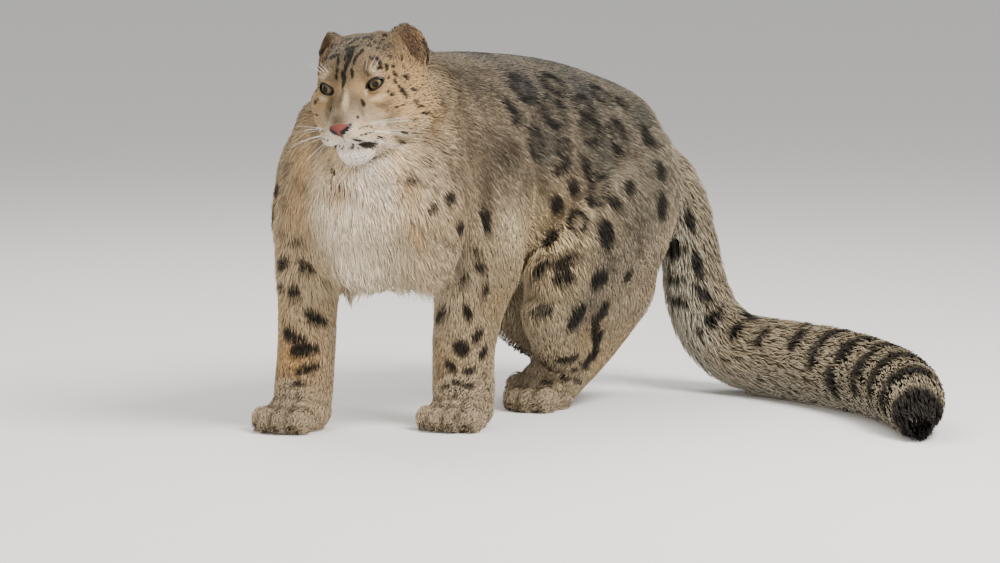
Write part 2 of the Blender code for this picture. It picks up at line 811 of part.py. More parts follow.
def ear(name, side, *neighbours):
    """A rounded cup that opens forwards and out, and sits on the head."""
    m = head_matrix()
    place = m @ Matrix.Translation((side * EAR_PLACE[0], EAR_PLACE[1], EAR_PLACE[2]))
    turn = place @ Matrix.Rotation(-side * EAR_LEAN, 4, "Y")
    turn = turn @ Matrix.Rotation(-side * EAR_OUTWARD, 4, "Z")
    cup = ball(name, turn, (0, 0, 0), EAR_RADII, 18)
    hollow = ball("hollow", turn, (0, 0.0120, 0.0010), EAR_HOLLOW, 18)
    boolean(cup, hollow, "DIFFERENCE")
    bpy.data.objects.remove(hollow)
    clear_of(cup, *neighbours)
    return cup


# Where the tail is parted: a place (x, y, up) on it, and the way on along it.
TAIL_CUTS = (
    ((0.040, 0.576, 0.145), (0.25, 0.10, -1.0)),
    ((0.190, 0.602, 0.060), (1.0, -0.04, 0.0)),
    ((0.350, 0.573, 0.060), (0.95, -0.30, 0.0)),
    ((0.500, 0.509, 0.054), (0.86, -0.51, 0.0)),
)


def part_tail(tail):
    """The tail's lengths, root first."""
    pieces = []
    for k, (point, way) in enumerate(TAIL_CUTS):
        turn = Vector(way).to_track_quat("Z", "Y").to_matrix().to_4x4()
        frame = Matrix.Translation(point) @ turn
        rest = split_off(tail, f"tail_{k + 2}", frame, (-0.6, -0.6, 0.0), (0.6, 0.6, 1.2))
        pieces.append(tail)
        tail = rest
    pieces.append(tail)
    for k, piece in enumerate(pieces):
        piece.name = f"tail_{k + 1}"
    return {piece.name: piece for piece in pieces}


# The long coat: flat tapering locks that overlap along the lie of the fur


def surface_tree(item):
    """A search tree over an object's faces."""
    points = [v.co.copy() for v in item.data.vertices]
    return BVHTree.FromPolygons(points, [list(p.vertices) for p in item.data.polygons])


def spread():
    """A seeded number between -1 and 1."""
    return noise.random() * 2 - 1


# Rings of a lock: part of its length, part of its lift, and part of its width.
LOCK_RINGS = ((-0.08, -1.0, 0.55), (0.28, 0.55, 1.0), (0.66, 1.0, 0.80), (1.0, 0.85, 0.0))


def lock(kind, root, normal, lie, sizes, tree):
    """One lock: sunk at its root, then bent along the core to a free tip."""
    lie = (lie - normal * lie.dot(normal)).normalized()
    lie = (lie + normal.cross(lie) * 0.22 * spread()).normalized()
    length, width, lift = (size * (1 + 0.15 * spread()) for size in sizes)
    points = []
    for along, height, _ in LOCK_RINGS:
        point = root + lie * length * along
        if height < 0:
            points.append(point - normal * ROOT_SUNK)
            continue
        near, facing, _, _ = tree.find_nearest(point)
        over = lift * height - (point - near).dot(facing)
        if over > 0:
            point += facing * over
        else:
            point += facing * over * (1.0 - 0.35 * along)
        points.append(point)
    bm = bmesh.new()
    rings = []
    for i, (_, _, size) in enumerate(LOCK_RINGS[:-1]):
        run = (points[i + 1] - points[max(i - 1, 0)]).normalized()
        side = run.cross(normal).normalized()
        out = side.cross(run).normalized()
        half = width / 2 * size
        thick = width * LOCK_SECTION * max(size, 0.7)
        ring = (side * half, out * thick * 0.6, -side * half, -out * thick * 0.4)
        rings.append([bm.verts.new(points[i] + offset) for offset in ring])
    tip = bm.verts.new(points[-1])
    for one, two in zip(rings, rings[1:]):
        for k in range(4):
            n = (k + 1) % 4
            bm.faces.new((one[k], one[n], two[n]))
            bm.faces.new((one[k], two[n], two[k]))
    for k in range(4):
        bm.faces.new((rings[-1][k], rings[-1][(k + 1) % 4], tip))
    bm.faces.new(rings[0])
    return closed_object(kind, bm)


def on_surface(tree, middle, way, reach=0.6):
    """Where a line from outside towards the middle first meets the surface."""
    way = way.normalized()
    point, normal, _, _ = tree.ray_cast(middle + way * reach, -way)
    return point, normal


def turns(count, reach, odd):
    """Angles spread over a half turn to each side, every second row set between."""
    shift = 0.5 * odd
    return [reach * (2 * (k + shift) / (count - 0.5) - 1) for k in range(count)]


def bib_locks(tree):
    """Rows round the throat and chest, hanging down."""
    point, heading = spine(0.06)
    forward = Vector((math.sin(heading), -math.cos(heading), 0))
    left = Vector((math.cos(heading), math.sin(heading), 0))
    made = []
    for row, (up, reach, count) in enumerate(BIB_ROWS):
        for turn in turns(count, reach, row % 2):
            turn += BIB_TURN
            way = forward * math.cos(turn) + left * math.sin(turn)
            root, normal = on_surface(tree, point + Vector((0, 0, up)), way)
            lie = Vector((0, 0, -1)) - forward * 0.15 * abs(math.sin(turn))
            made.append(lock("bib", root, normal, lie, BIB_LOCK, tree))
    return made


def belly_locks(tree):
    """Rows under the trunk and along its lower edges, hanging back and down."""
    made = []
    for row in range(BELLY_ROWS):
        point, heading = spine(BELLY_FRONT - row * BELLY_STEP)
        forward = Vector((math.sin(heading), -math.cos(heading), 0))
        left = Vector((math.cos(heading), math.sin(heading), 0))
        for turn in turns(BELLY_COUNT, BELLY_REACH, row % 2):
            way = left * math.sin(turn) - Vector((0, 0, 1)) * math.cos(turn)
            root, normal = on_surface(tree, point + Vector((0, 0, 0.36)), way)
            lie = -forward - Vector((0, 0, 0.8))
            made.append(lock("belly", root, normal, lie, BELLY_LOCK, tree))
    return made


def tail_locks(tree):
    """Rings of locks along the tail, each ring overlapping the next."""
    points = [Vector(p[:3]) for p in smooth_path(TAIL, 8)]
    run_length = 0.0
    ring = 0
    side = Vector((1, 0, 0))
    made = []
    for i in range(1, len(points) - 1):
        run_length += (points[i] - points[i - 1]).length
        run = (points[i + 1] - points[i - 1]).normalized()
        side = (side - run * side.dot(run)).normalized()
        if run_length < TAIL_FIRST_RING + ring * TAIL_RING_STEP:
            continue
        ring += 1
        for k in range(TAIL_COUNT):
            a = 2 * math.pi * (k + 0.5 * (ring % 2)) / TAIL_COUNT
            way = side * math.cos(a) + run.cross(side) * math.sin(a)
            root, normal = on_surface(tree, points[i], way, 0.075)
            made.append(lock("tail", root, normal, run, TAIL_LOCK, tree))
    return made


# The nodes that each kind of lock may grow from.
HOMES = {
    "bib": ("chest", "neck"),
    "belly": ("chest", "loin", "hips"),
    "tail": ("tail_1", "tail_2", "tail_3", "tail_4", "tail_5"),
}


def boolean_all(item, others, operation):
    """The item's mesh after one Boolean with a collection of others, which are removed."""
    if not others:
        return
    group = make_collection("operands")
    for other in others:
        bpy.data.collections[WORKSHOP].objects.unlink(other)
        group.objects.link(other)
    change = item.modifiers.new(operation.lower(), "BOOLEAN")
    change.operation = operation
    change.operand_type = "COLLECTION"
    change.collection = group
    change.solver = "MANIFOLD"
    apply_all(item)
    for other in others:
        bpy.data.objects.remove(other)
    bpy.data.collections.remove(group)


def reach_of(item):
    """The lowest and highest coordinates of an object."""
    places = [v.co for v in item.data.vertices]
    return [min(p[i] for p in places) for i in range(3)], [max(p[i] for p in places) for i in range(3)]


def may_touch(one, two):
    """Whether the boxes round two objects overlap."""
    (low, high), (other_low, other_high) = reach_of(one), reach_of(two)
    return all(low[i] < other_high[i] and other_low[i] < high[i] for i in range(3))


def fattened(item):
    """A copy of a lock that stands out all round it by a narrow gap, as a cutter."""
    made = copy_of(item, "fattened")
    places = [v.co for v in made.data.vertices]
    for start in (0, 4, 8):
        centre = sum(places[start:start + 4], Vector()) / 4
        for place in places[start:start + 4]:
            place += (place - centre).normalized() * LOCK_GAP
    places[12] += (places[12] - centre).normalized() * LOCK_GAP * 2
    return made


def add_locks(pieces, locks):
    """Fuses each lock that clears the floor to the node under its root, then parts the nodes."""
    trees = {name: surface_tree(piece) for name, piece in pieces.items()}
    groups = {}
    for item in locks:
        root = sum((v.co for v in item.data.vertices[:4]), Vector()) / 4
        home = min(trees, key=lambda name: trees[name].find_nearest(root)[3])
        kind = item.name.split(".")[0]
        if home in HOMES[kind] and reach_of(item)[0][2] > FLOOR_CLEARANCE:
            groups.setdefault(home, []).append(item)
        else:
            bpy.data.objects.remove(item)
    cores = {name: grown(piece) for name, piece in pieces.items()}
    swollen = {name: [fattened(item) for item in groups[name]] for name in groups}
    order = sorted(groups)
    for name in order:
        boolean_all(pieces[name], groups[name], "UNION")
        keep_largest(pieces[name], merge=0)
    for i, name in enumerate(order):
        piece = pieces[name]
        others = [core for key, core in cores.items() if key != name]
        others += [item for key in order[:i] for item in swollen[key]]
        cutters = [copy_of(other, "cutter") for other in others if may_touch(piece, other)]
        boolean_all(piece, cutters, "DIFFERENCE")
        keep_largest(piece, merge=0)
    for item in list(cores.values()) + [item for key in order for item in swollen[key]]:
        bpy.data.objects.remove(item)


# The main program


def finish(pieces):
    """Gives each node its material and name, and moves the whole to its origin."""
    animal = make_collection("snow_leopard")
    shift = Matrix.Translation(-FOOTPRINT_MIDDLE)
    for name, piece in pieces.items():
        colour, roughness = COAT, 0.9
        if name.startswith("tail"):
            colour = TAIL_COAT
        elif name.startswith("eye"):
            colour, roughness = EYE_COLOUR, 0.15
        elif name in ("chest", "neck"):
            colour = PALE_COAT
        piece.name = name
        piece.data.name = name
        piece.data.transform(shift)
        piece.data.materials.clear()
        piece.data.materials.append(make_material(name, colour, roughness))
        piece.data.shade_smooth()
        piece.data.set_sharp_from_angle(angle=math.radians(40))
        bpy.data.collections[WORKSHOP].objects.unlink(piece)
        animal.objects.link(piece)
    bpy.data.collections.remove(bpy.data.collections[WORKSHOP])


def main():
    clear_scene()
    make_collection(WORKSHOP)
    flesh = fused_flesh()
    tail = tail_form("tail")
    flatten_soles(tail)
    clear_of(tail, flesh)
    noise.seed_set(LOCK_SEED)
    flesh_tree = surface_tree(flesh)
    locks = bib_locks(flesh_tree) + belly_locks(flesh_tree) + tail_locks(surface_tree(tail))
    pieces = part_tail(tail)
    pieces.update(part_body(flesh))
    head = pieces["head"]
    for name, side in (("left", 1), ("right", -1)):
        pieces[f"ear_{name}"] = ear(f"ear_{name}", side, head, pieces["neck"])
        pieces[f"eye_{name}"] = eye(f"eye_{name}", side)
    cut_face(head)
    add_locks(pieces, locks)
    finish(pieces)


main()
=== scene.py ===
"""The looks of a standing snow leopard: one skin, its coat of tufts, eyes and whiskers.

The animal faces -Y, its left side is +X, and its soles rest on Z = 0. Places on the body
are (left, ahead, up) along the bent spine, and places on the head are given the same way
from the middle of the skull. Lengths are in metres. Marks are given as the camera sees them,
in points of its view, 1000 across and 563 down.
"""

import math

import bpy
import numpy as np
from mathutils import Euler, Matrix, Vector, kdtree
from mathutils.bvhtree import BVHTree


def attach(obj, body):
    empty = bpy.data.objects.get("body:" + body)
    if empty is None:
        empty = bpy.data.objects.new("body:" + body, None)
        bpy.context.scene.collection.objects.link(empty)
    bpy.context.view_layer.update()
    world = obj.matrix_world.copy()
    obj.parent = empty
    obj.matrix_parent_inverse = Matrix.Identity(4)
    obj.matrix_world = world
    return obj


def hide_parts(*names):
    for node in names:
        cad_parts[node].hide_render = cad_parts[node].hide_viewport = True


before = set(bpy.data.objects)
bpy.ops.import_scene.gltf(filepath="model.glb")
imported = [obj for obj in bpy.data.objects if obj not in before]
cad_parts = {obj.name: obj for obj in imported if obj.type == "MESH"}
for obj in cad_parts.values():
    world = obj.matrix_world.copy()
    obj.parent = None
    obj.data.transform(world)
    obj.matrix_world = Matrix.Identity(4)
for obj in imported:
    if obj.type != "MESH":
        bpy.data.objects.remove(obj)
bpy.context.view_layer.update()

# The body's measures, as in the solids.
SHOULDER_TO_HIP = 0.47
CHEST_HEADING = math.radians(15)
HIP_HEADING = math.radians(-15)
MIDDLE = Vector((0.252, 0.197, 0.0))
HEAD_PLACE = (0.027, 0.190, 0.510)
HEAD_HEADING = math.radians(22)
HEAD_PITCH = math.radians(10)
HEAD_ROLL = math.radians(7)
EYE_RADIUS = 0.0140
EYE_PLACE = (0.0370, 0.0460, 0.0205)
EYE_OUTWARD = math.radians(16)
LID_THICKNESS = 0.0036
LID_OPENING = (0.0128, 0.0070, 0.0062)
LID_SLANT = math.radians(22)
EAR_PLACE = (0.0660, -0.0240, 0.0500)
EAR_RADII = (0.0310, 0.0170, 0.0385)
EAR_HOLLOW = (0.0245, 0.0150, 0.0310)
EAR_OUTWARD = math.radians(40)
EAR_LEAN = math.radians(24)
HIND_STEP = 0.105

# How fine the skin's forms are remeshed, and the triangles kept of each.
BODY_VOXEL, BODY_TRIANGLES = 0.0046, 92000
HEAD_VOXEL, HEAD_TRIANGLES = 0.0013, 64000
PAW_VOXEL, PAW_TRIANGLES = 0.0021, 8000
SKULL_VOXEL = 0.0024
MAP_TRIANGLES = 9000

rng = np.random.default_rng(11)


# Places on the body and head

def sided(place, side):
    """A place or way of the left side, or its mirror image for side -1."""
    left, *rest = place
    return (side * left, *rest)


def heading_ways(heading):
    """The left and forward ways at a heading."""
    return (Vector((math.cos(heading), math.sin(heading), 0)),
            Vector((math.sin(heading), -math.cos(heading), 0)))


def spine(ahead):
    """The spine's place on the floor and its heading, this far ahead of the shoulders."""
    bend = (CHEST_HEADING - HIP_HEADING) / SHOULDER_TO_HIP
    bent = min(max(ahead, -SHOULDER_TO_HIP), 0.0)
    heading = CHEST_HEADING + bend * bent
    x = -(math.cos(heading) - math.cos(CHEST_HEADING)) / bend
    y = -(math.sin(heading) - math.sin(CHEST_HEADING)) / bend
    return Vector((x, y, 0)) + heading_ways(heading)[1] * (ahead - bent) - MIDDLE, heading


def body_turn(ahead):
    """Turns (left, ahead, up) ways at this place of the spine into the scene's."""
    left, forward = heading_ways(spine(ahead)[1])
    return Matrix((left, forward, Vector((0, 0, 1)))).transposed()


def on_body(left, ahead, up):
    return spine(ahead)[0] + body_turn(ahead) @ Vector((left, 0, up))


def head_matrix():
    left, forward = heading_ways(HEAD_HEADING)
    up = Vector((0, 0, 1))
    ahead = forward * math.cos(HEAD_PITCH) - up * math.sin(HEAD_PITCH)
    crown = up * math.cos(HEAD_PITCH) + forward * math.sin(HEAD_PITCH)
    side = left * math.cos(HEAD_ROLL) + crown * math.sin(HEAD_ROLL)
    crown = crown * math.cos(HEAD_ROLL) - left * math.sin(HEAD_ROLL)
    turned = Matrix((side, ahead, crown)).transposed().to_4x4()
    return Matrix.Translation(on_body(*HEAD_PLACE)) @ turned


HEAD = head_matrix()
HEAD_BACK = HEAD.inverted()


def eye_frame(side):
    """The eye's frame: y runs back into the head, z up, x to the outer corner."""
    centre = HEAD @ Vector(sided(EYE_PLACE, side))
    turn = HEAD.to_3x3()
    gaze = Vector((math.sin(EYE_OUTWARD) * side, math.cos(EYE_OUTWARD), 0.04))
    back = -(turn @ gaze).normalized()
    outer = turn @ Vector((side * math.cos(LID_SLANT), 0, math.sin(LID_SLANT)))
    outer = (outer - back * outer.dot(back)).normalized()
    up = back.cross(outer) * side
    if up.z < 0:
        up = -up
    return Matrix.Translation(centre) @ Matrix((outer, back, up)).transposed().to_4x4()


def ear_turn(side):
    place = HEAD @ Matrix.Translation(sided(EAR_PLACE, side))
    turn = place @ Matrix.Rotation(-side * EAR_LEAN, 4, "Y")
    return turn @ Matrix.Rotation(-side * EAR_OUTWARD, 4, "Z")


def hind_step(up):
    """How far the right hind leg stands behind the left at this height."""
    return HIND_STEP * min(1.0, max(0.0, (0.40 - up) / 0.22))


def paw_turn(left, ahead, heading):
    return Matrix.Translation(on_body(left, ahead, 0)) @ Matrix.Rotation(heading, 4, "Z")


# Modelling by Blender's own tools

def pick(*objects):
    bpy.ops.object.select_all(action="DESELECT")
    for item in objects:
        item.select_set(True)
    bpy.context.view_layer.objects.active = objects[0]


def settle(item):
    """Puts the object's place into its mesh."""
    pick(item)
    bpy.ops.object.transform_apply(location=True, rotation=True, scale=True)
    return item


def join(name, objects):
    pick(*objects)
    if len(objects) > 1:
        bpy.ops.object.join()
    made = bpy.context.view_layer.objects.active
    made.name = made.data.name = name
    return made


def turn_out(item):
    """Makes all faces point outwards."""
    pick(item)
    bpy.ops.object.mode_set(mode="EDIT")
    bpy.ops.mesh.select_all(action="SELECT")
    bpy.ops.mesh.normals_make_consistent(inside=False)
    bpy.ops.object.mode_set(mode="OBJECT")


def modify(item, kind, **values):
    """Adds a modifier with these values and applies it."""
    pick(item)
    change = item.modifiers.new(kind.lower(), kind)
    for key, value in values.items():
        setattr(change, key, value)
    bpy.ops.object.modifier_apply(modifier=change.name)


def remesh(item, voxel):
    modify(item, "REMESH", mode="VOXEL", voxel_size=voxel)


def smooth(item, times, **values):
    modify(item, "SMOOTH", factor=0.5, iterations=times, **values)


def thin(item, triangles, **values):
    """Thins a piece to about this many triangles."""
    now = sum(len(p.vertices) - 2 for p in item.data.polygons)
    modify(item, "DECIMATE", ratio=triangles / now, **values)


def unite(item, other, operation="UNION", solver="MANIFOLD"):
    modify(item, "BOOLEAN", operation=operation, object=other, solver=solver)
    bpy.data.objects.remove(other)


def cut(item, other):
    unite(item, other, "DIFFERENCE", "EXACT")


def ball(matrix, centre, radii, segments=24):
    bpy.ops.mesh.primitive_uv_sphere_add(segments=segments, ring_count=segments // 2, radius=1)
    made = bpy.context.object
    made.matrix_world = matrix @ Matrix.Translation(centre) @ Matrix.Diagonal((*radii, 1))
    return settle(made)


def tube(rings, sides=20):
    """A circle extruded from ring to ring, each ring a (centre, side, deep), ends rounded."""
    ends = []
    for outer, inner in ((rings[0], rings[1]), (rings[-1], rings[-2])):
        centre, side, deep = outer
        out = (centre - inner[0]).normalized() * (side.length + deep.length) / 2
        ends.append([
            (centre + out * math.sin(a) * 0.9, side * math.cos(a), deep * math.cos(a))
            for a in (math.radians(32), math.radians(62))
        ])
    rings = ends[0][::-1] + list(rings) + ends[1]
    bpy.ops.mesh.primitive_circle_add(vertices=sides, radius=1, fill_type="NGON")
    made = bpy.context.object
    bpy.ops.object.mode_set(mode="EDIT")
    for _ in rings[1:]:
        bpy.ops.mesh.extrude_region_move(TRANSFORM_OT_translate={"value": (0, 0, 1)})
    bpy.ops.object.mode_set(mode="OBJECT")
    for vertex in made.data.vertices:
        centre, side, deep = rings[round(vertex.co.z)]
        a = math.atan2(vertex.co.y, vertex.co.x)
        vertex.co = centre + side * math.cos(a) + deep * math.sin(a)
    turn_out(made)
    return made


def smooth_path(stations, steps):
    """A Catmull-Rom curve through stations, each a tuple of numbers."""
    path = []
    last = len(stations) - 1
    for i in range(last):
        before, start = Vector(stations[max(i - 1, 0)]), Vector(stations[i])
        end, after = Vector(stations[i + 1]), Vector(stations[min(i + 2, last)])
        for k in range(steps):
            t = k / steps
            path.append(0.5 * (
                2 * start + (end - before) * t
                + (2 * before - 5 * start + 4 * end - after) * t * t
                + (3 * start - before - 3 * end + after) * t * t * t
            ))
    return path + [Vector(stations[-1])]


def limb(stations, steps=4, sides=20):
    """A tube along body places: (left, ahead, up, half across, half deep)."""
    path = smooth_path(stations, steps)
    points = [on_body(*p[:3]) for p in path]
    rings = []
    for i, point in enumerate(points):
        run = points[min(i + 1, len(points) - 1)] - points[max(i - 1, 0)]
        side = body_turn(path[i][1]).col[0]
        deep = run.cross(side).normalized()
        rings.append((point, deep.cross(run).normalized() * path[i][3], deep * path[i][4]))
    return tube(rings, sides)


# The flesh as overlapping forms: (left, ahead, up, half across, half deep)
TRUNK = (
    (0.000, 0.170, 0.365, 0.075, 0.080), (0.000, 0.155, 0.368, 0.108, 0.118),
    (0.000, 0.110, 0.378, 0.132, 0.142), (0.000, 0.040, 0.390, 0.142, 0.163),
    (0.000, -0.060, 0.390, 0.144, 0.165), (0.000, -0.160, 0.384, 0.146, 0.165),
    (0.000, -0.260, 0.376, 0.144, 0.161), (0.000, -0.340, 0.364, 0.140, 0.152),
    (0.000, -0.410, 0.352, 0.134, 0.138), (0.000, -0.445, 0.342, 0.122, 0.117),
    (0.000, -0.480, 0.334, 0.098, 0.090), (0.000, -0.500, 0.326, 0.062, 0.058),
)
NECK = (
    (0.000, 0.010, 0.440, 0.112, 0.110), (0.005, 0.080, 0.465, 0.110, 0.112),
    (0.012, 0.140, 0.488, 0.098, 0.104), (0.020, 0.180, 0.508, 0.080, 0.086),
)
THROAT = (
    (0.020, 0.150, 0.480, 0.078, 0.062), (0.010, 0.158, 0.410, 0.100, 0.070),
    (0.000, 0.155, 0.330, 0.100, 0.070), (0.000, 0.135, 0.275, 0.080, 0.055),
)
BREAST = (
    (0.055, 0.120, 0.440, 0.085, 0.070), (0.050, 0.125, 0.360, 0.095, 0.080),
    (0.045, 0.115, 0.290, 0.085, 0.066),
)
FORELEG_LEFT = (
    (0.075, -0.050, 0.460, 0.045, 0.070), (0.098, -0.030, 0.390, 0.062, 0.088),
    (0.106, -0.015, 0.320, 0.062, 0.080), (0.096, -0.020, 0.250, 0.056, 0.067),
    (0.082, -0.008, 0.190, 0.053, 0.058), (0.078, 0.006, 0.115, 0.046, 0.049),
    (0.082, 0.012, 0.050, 0.047, 0.050),
)
FORELEG_RIGHT = (
    (-0.085, 0.050, 0.460, 0.045, 0.070), (-0.110, 0.085, 0.390, 0.062, 0.086),
    (-0.121, 0.110, 0.320, 0.056, 0.070), (-0.122, 0.120, 0.250, 0.048, 0.056),
    (-0.119, 0.130, 0.180, 0.044, 0.047), (-0.116, 0.140, 0.110, 0.043, 0.045),
    (-0.115, 0.150, 0.050, 0.044, 0.047),
)
THIGH = (
    (0.075, -0.425, 0.370, 0.055, 0.082), (0.098, -0.365, 0.315, 0.066, 0.100),
    (0.112, -0.285, 0.250, 0.062, 0.090), (0.110, -0.215, 0.205, 0.052, 0.068),
)
HAM = (
    (0.062, -0.465, 0.345, 0.048, 0.052), (0.084, -0.425, 0.285, 0.050, 0.053),
    (0.088, -0.412, 0.230, 0.038, 0.042), (0.085, -0.418, 0.190, 0.029, 0.033),
)
SHIN = (
    (0.108, -0.215, 0.192, 0.050, 0.060), (0.102, -0.270, 0.176, 0.048, 0.057),
    (0.093, -0.340, 0.175, 0.041, 0.047), (0.085, -0.405, 0.184, 0.030, 0.035),
)
SHIN_FUR = (
    (0.106, -0.204, 0.165, 0.046, 0.054), (0.096, -0.235, 0.122, 0.041, 0.050),
    (0.080, -0.275, 0.088, 0.037, 0.044),
)
HOCK_FUR = ((0.092, -0.335, 0.160, 0.038, 0.050), (0.078, -0.318, 0.110, 0.036, 0.046))
FOOT = (
    (0.083, -0.422, 0.182, 0.029, 0.031), (0.077, -0.375, 0.128, 0.031, 0.034),
    (0.069, -0.322, 0.082, 0.035, 0.037), (0.061, -0.272, 0.044, 0.041, 0.035),
)
TAIL_ROOT = (
    (0.000, -0.430, 0.385, 0.060, 0.055), (0.000, -0.480, 0.368, 0.056, 0.052),
    (0.000, -0.520, 0.335, 0.049, 0.047),
)
# The tail's places are (x, y, up, half across, half deep).
TAIL = (
    (0.008, 0.455, 0.372, 0.046, 0.040), (0.016, 0.505, 0.352, 0.048, 0.044),
    (0.022, 0.543, 0.300, 0.047, 0.046), (0.027, 0.563, 0.235, 0.046, 0.045),
    (0.033, 0.572, 0.170, 0.050, 0.050), (0.052, 0.583, 0.110, 0.055, 0.055),
    (0.092, 0.596, 0.073, 0.058, 0.058), (0.150, 0.604, 0.0615, 0.060, 0.0605),
    (0.240, 0.598, 0.0600, 0.060, 0.0600), (0.335, 0.578, 0.0590, 0.060, 0.0590),
    (0.430, 0.545, 0.0570, 0.058, 0.0570), (0.518, 0.498, 0.0540, 0.055, 0.0540),
    (0.585, 0.447, 0.0490, 0.049, 0.0490), (0.626, 0.409, 0.0420, 0.041, 0.0415),
    (0.652, 0.384, 0.0340, 0.029, 0.0300),
)
# Paws: left, ahead, heading, half width, half length.
PAWS = (
    (0.086, 0.030, math.radians(20), 0.052, 0.056),
    (-0.114, 0.168, math.radians(8), 0.050, 0.056),
    (0.056, -0.245, math.radians(2), 0.046, 0.054),
    (-0.056, -0.245 - HIND_STEP, math.radians(-16), 0.046, 0.054),
)
TOES = ((-0.72, 0.60), (-0.26, 0.84), (0.24, 0.84), (0.72, 0.60))
TOE_RADII = (0.0172, 0.0225, 0.0180)

# The head's round forms: place, radii, segments. Those of each side are given for the left.
HEAD_FORMS = (
    ((0, -0.018, 0.014), (0.076, 0.084, 0.066), 32),
    ((0, 0.022, 0.034), (0.054, 0.042, 0.044), 32),
    ((0, -0.012, 0.050), (0.060, 0.052, 0.036), 32),
    ((0, 0.066, -0.034), (0.042, 0.047, 0.031), 32),
    ((0, 0.083, -0.067), (0.026, 0.026, 0.0190), 24),
    ((0, 0.036, -0.056), (0.047, 0.054, 0.030), 32),
    ((0, 0.100, -0.046), (0.019, 0.0160, 0.013), 24),
)
HEAD_SIDE_FORMS = (
    ((0.050, -0.006, -0.028), (0.044, 0.056, 0.054), 32),
    ((0.046, 0.028, -0.006), (0.035, 0.034, 0.032), 32),
    ((0.030, 0.055, -0.016), (0.024, 0.028, 0.022), 32),
    ((0.033, 0.040, 0.042), (0.024, 0.021, 0.014), 24),
    ((0.0205, 0.092, -0.0405), (0.0225, 0.0250, 0.0200), 32),
)
NOSE_TIP = ((0, 0.110, -0.0285), (0.0195, 0.0140, 0.0120), 32)
# Each nostril is a slit from beside the middle, up and out to the wing of the nose.
NOSTRIL = ((0.0062, 0.1230, -0.0335), (0.0165, 0.1140, -0.0255))
PHILTRUM = ((0, 0.1240, -0.0390), (0, 0.1190, -0.0450), (0, 0.1150, -0.0510))
LIPS = (
    (0.000, 0.1145, -0.0510), (0.009, 0.1130, -0.0545), (0.019, 0.1070, -0.0575),
    (0.028, 0.0950, -0.0590), (0.035, 0.0800, -0.0600), (0.039, 0.0660, -0.0620),
)
# Heights on the nose leather and its half width at each.
LEATHER_UP = (-0.0430, -0.0400, -0.0330, -0.0250, -0.0220, -0.0205)
LEATHER_WIDE = (0.0, 0.0025, 0.0080, 0.0175, 0.0160, 0.0)
# Furrows pressed into the skin: depth and half width.
TOE_FURROW = (0.0042, 0.0036)
LIP_FURROW = (0.0032, 0.0024)
PHILTRUM_FURROW = (0.0020, 0.0015)


def hind_limb(stations, side):
    if side > 0:
        return limb(stations)
    return limb([(-left, ahead - hind_step(up), up, *sizes)
                 for left, ahead, up, *sizes in stations])


def tail_path(steps):
    """Points, runs, sides and radii along the tail, root first."""
    path = smooth_path(TAIL, steps)
    points = [Vector(p[:3]) - MIDDLE for p in path]
    side = Vector((1, 0, 0))
    rings = []
    for i, point in enumerate(points):
        run = (points[min(i + 1, len(points) - 1)] - points[max(i - 1, 0)]).normalized()
        side = (side - run * side.dot(run)).normalized()
        rings.append((point, run, side.copy(), path[i][3], path[i][4]))
    return rings


def body_form():
    forms = [limb(TRUNK, sides=28), limb(NECK, sides=24), limb(THROAT, sides=24)]
    forms += [limb(BREAST), limb([(-a, *rest) for a, *rest in BREAST]), limb(TAIL_ROOT)]
    forms += [limb(FORELEG_LEFT), limb(FORELEG_RIGHT)]
    forms.append(tube([(p, s * w, r.cross(s) * d) for p, r, s, w, d in tail_path(3)], 20))
    for side in (1, -1):
        forms += [hind_limb(f, side) for f in (THIGH, HAM, SHIN, SHIN_FUR, HOCK_FUR, FOOT)]
    return join("body", forms)


def paw_form(left, ahead, heading, half_width, half_length):
    turn = paw_turn(left, ahead, heading)
    forms = [
        ball(turn, (0, 0.006, 0.028), (half_width * 0.92, half_length * 0.92, 0.034)),
        ball(turn, (0, 0.016, 0.050), (half_width * 0.84, half_length * 0.76, 0.032)),
    ]
    for across, forward in TOES:
        forms.append(ball(turn, (across * half_width, -forward * half_length, 0.019), TOE_RADII))
    made = join("paw", forms)
    remesh(made, PAW_VOXEL)
    smooth(made, 6)
    thin(made, PAW_TRIANGLES)
    return made


def bar(matrix, start, end, start_radii, end_radii):
    """A short tapered bar of balls between two places."""
    made = []
    for k in range(6):
        t = k / 5
        radii = [a + (b - a) * t for a, b in zip(start_radii, end_radii)]
        made.append(ball(matrix, Vector(start).lerp(Vector(end), t), radii))
    return made


def make_ear(side):
    """A cup, hollowed in front and drawn up to a rounded point."""
    turn = ear_turn(side)
    cup = ball(Matrix.Identity(4), (0, 0, 0), EAR_RADII, 32)
    cut(cup, ball(Matrix.Identity(4), (0, 0.0120, 0.0010), EAR_HOLLOW, 32))
    co = places(cup)
    high = np.clip(co[:, 2] / EAR_RADII[2], 0, 1)
    co[:, 0] = co[:, 0] * (1 - 0.16 * high ** 2) + side * 0.003 * high
    co[:, 2] += 0.0075 * high ** 2
    put_places(cup, co)
    cup.matrix_world = turn
    return settle(cup)


def head_form():
    """Skull, brows, cheeks, muzzle and chin made smooth, then lids, nose and ears on them."""
    forms = [ball(HEAD, *form) for form in HEAD_FORMS]
    for side in (-1, 1):
        forms += [ball(HEAD, sided(place, side), *sizes) for place, *sizes in HEAD_SIDE_FORMS]
    forms += bar(HEAD, (0, 0.046, 0.026), (0, 0.100, -0.017),
                 (0.025, 0.020, 0.020), (0.0210, 0.0185, 0.0170))
    skull = join("skull", forms)
    remesh(skull, SKULL_VOXEL)
    smooth(skull, 20)
    details = [skull, ball(HEAD, *NOSE_TIP)]
    for side in (-1, 1):
        details.append(ball(HEAD, sided(EYE_PLACE, side), (EYE_RADIUS + LID_THICKNESS,) * 3, 32))
        details.append(make_ear(side))
    return join("head", details)


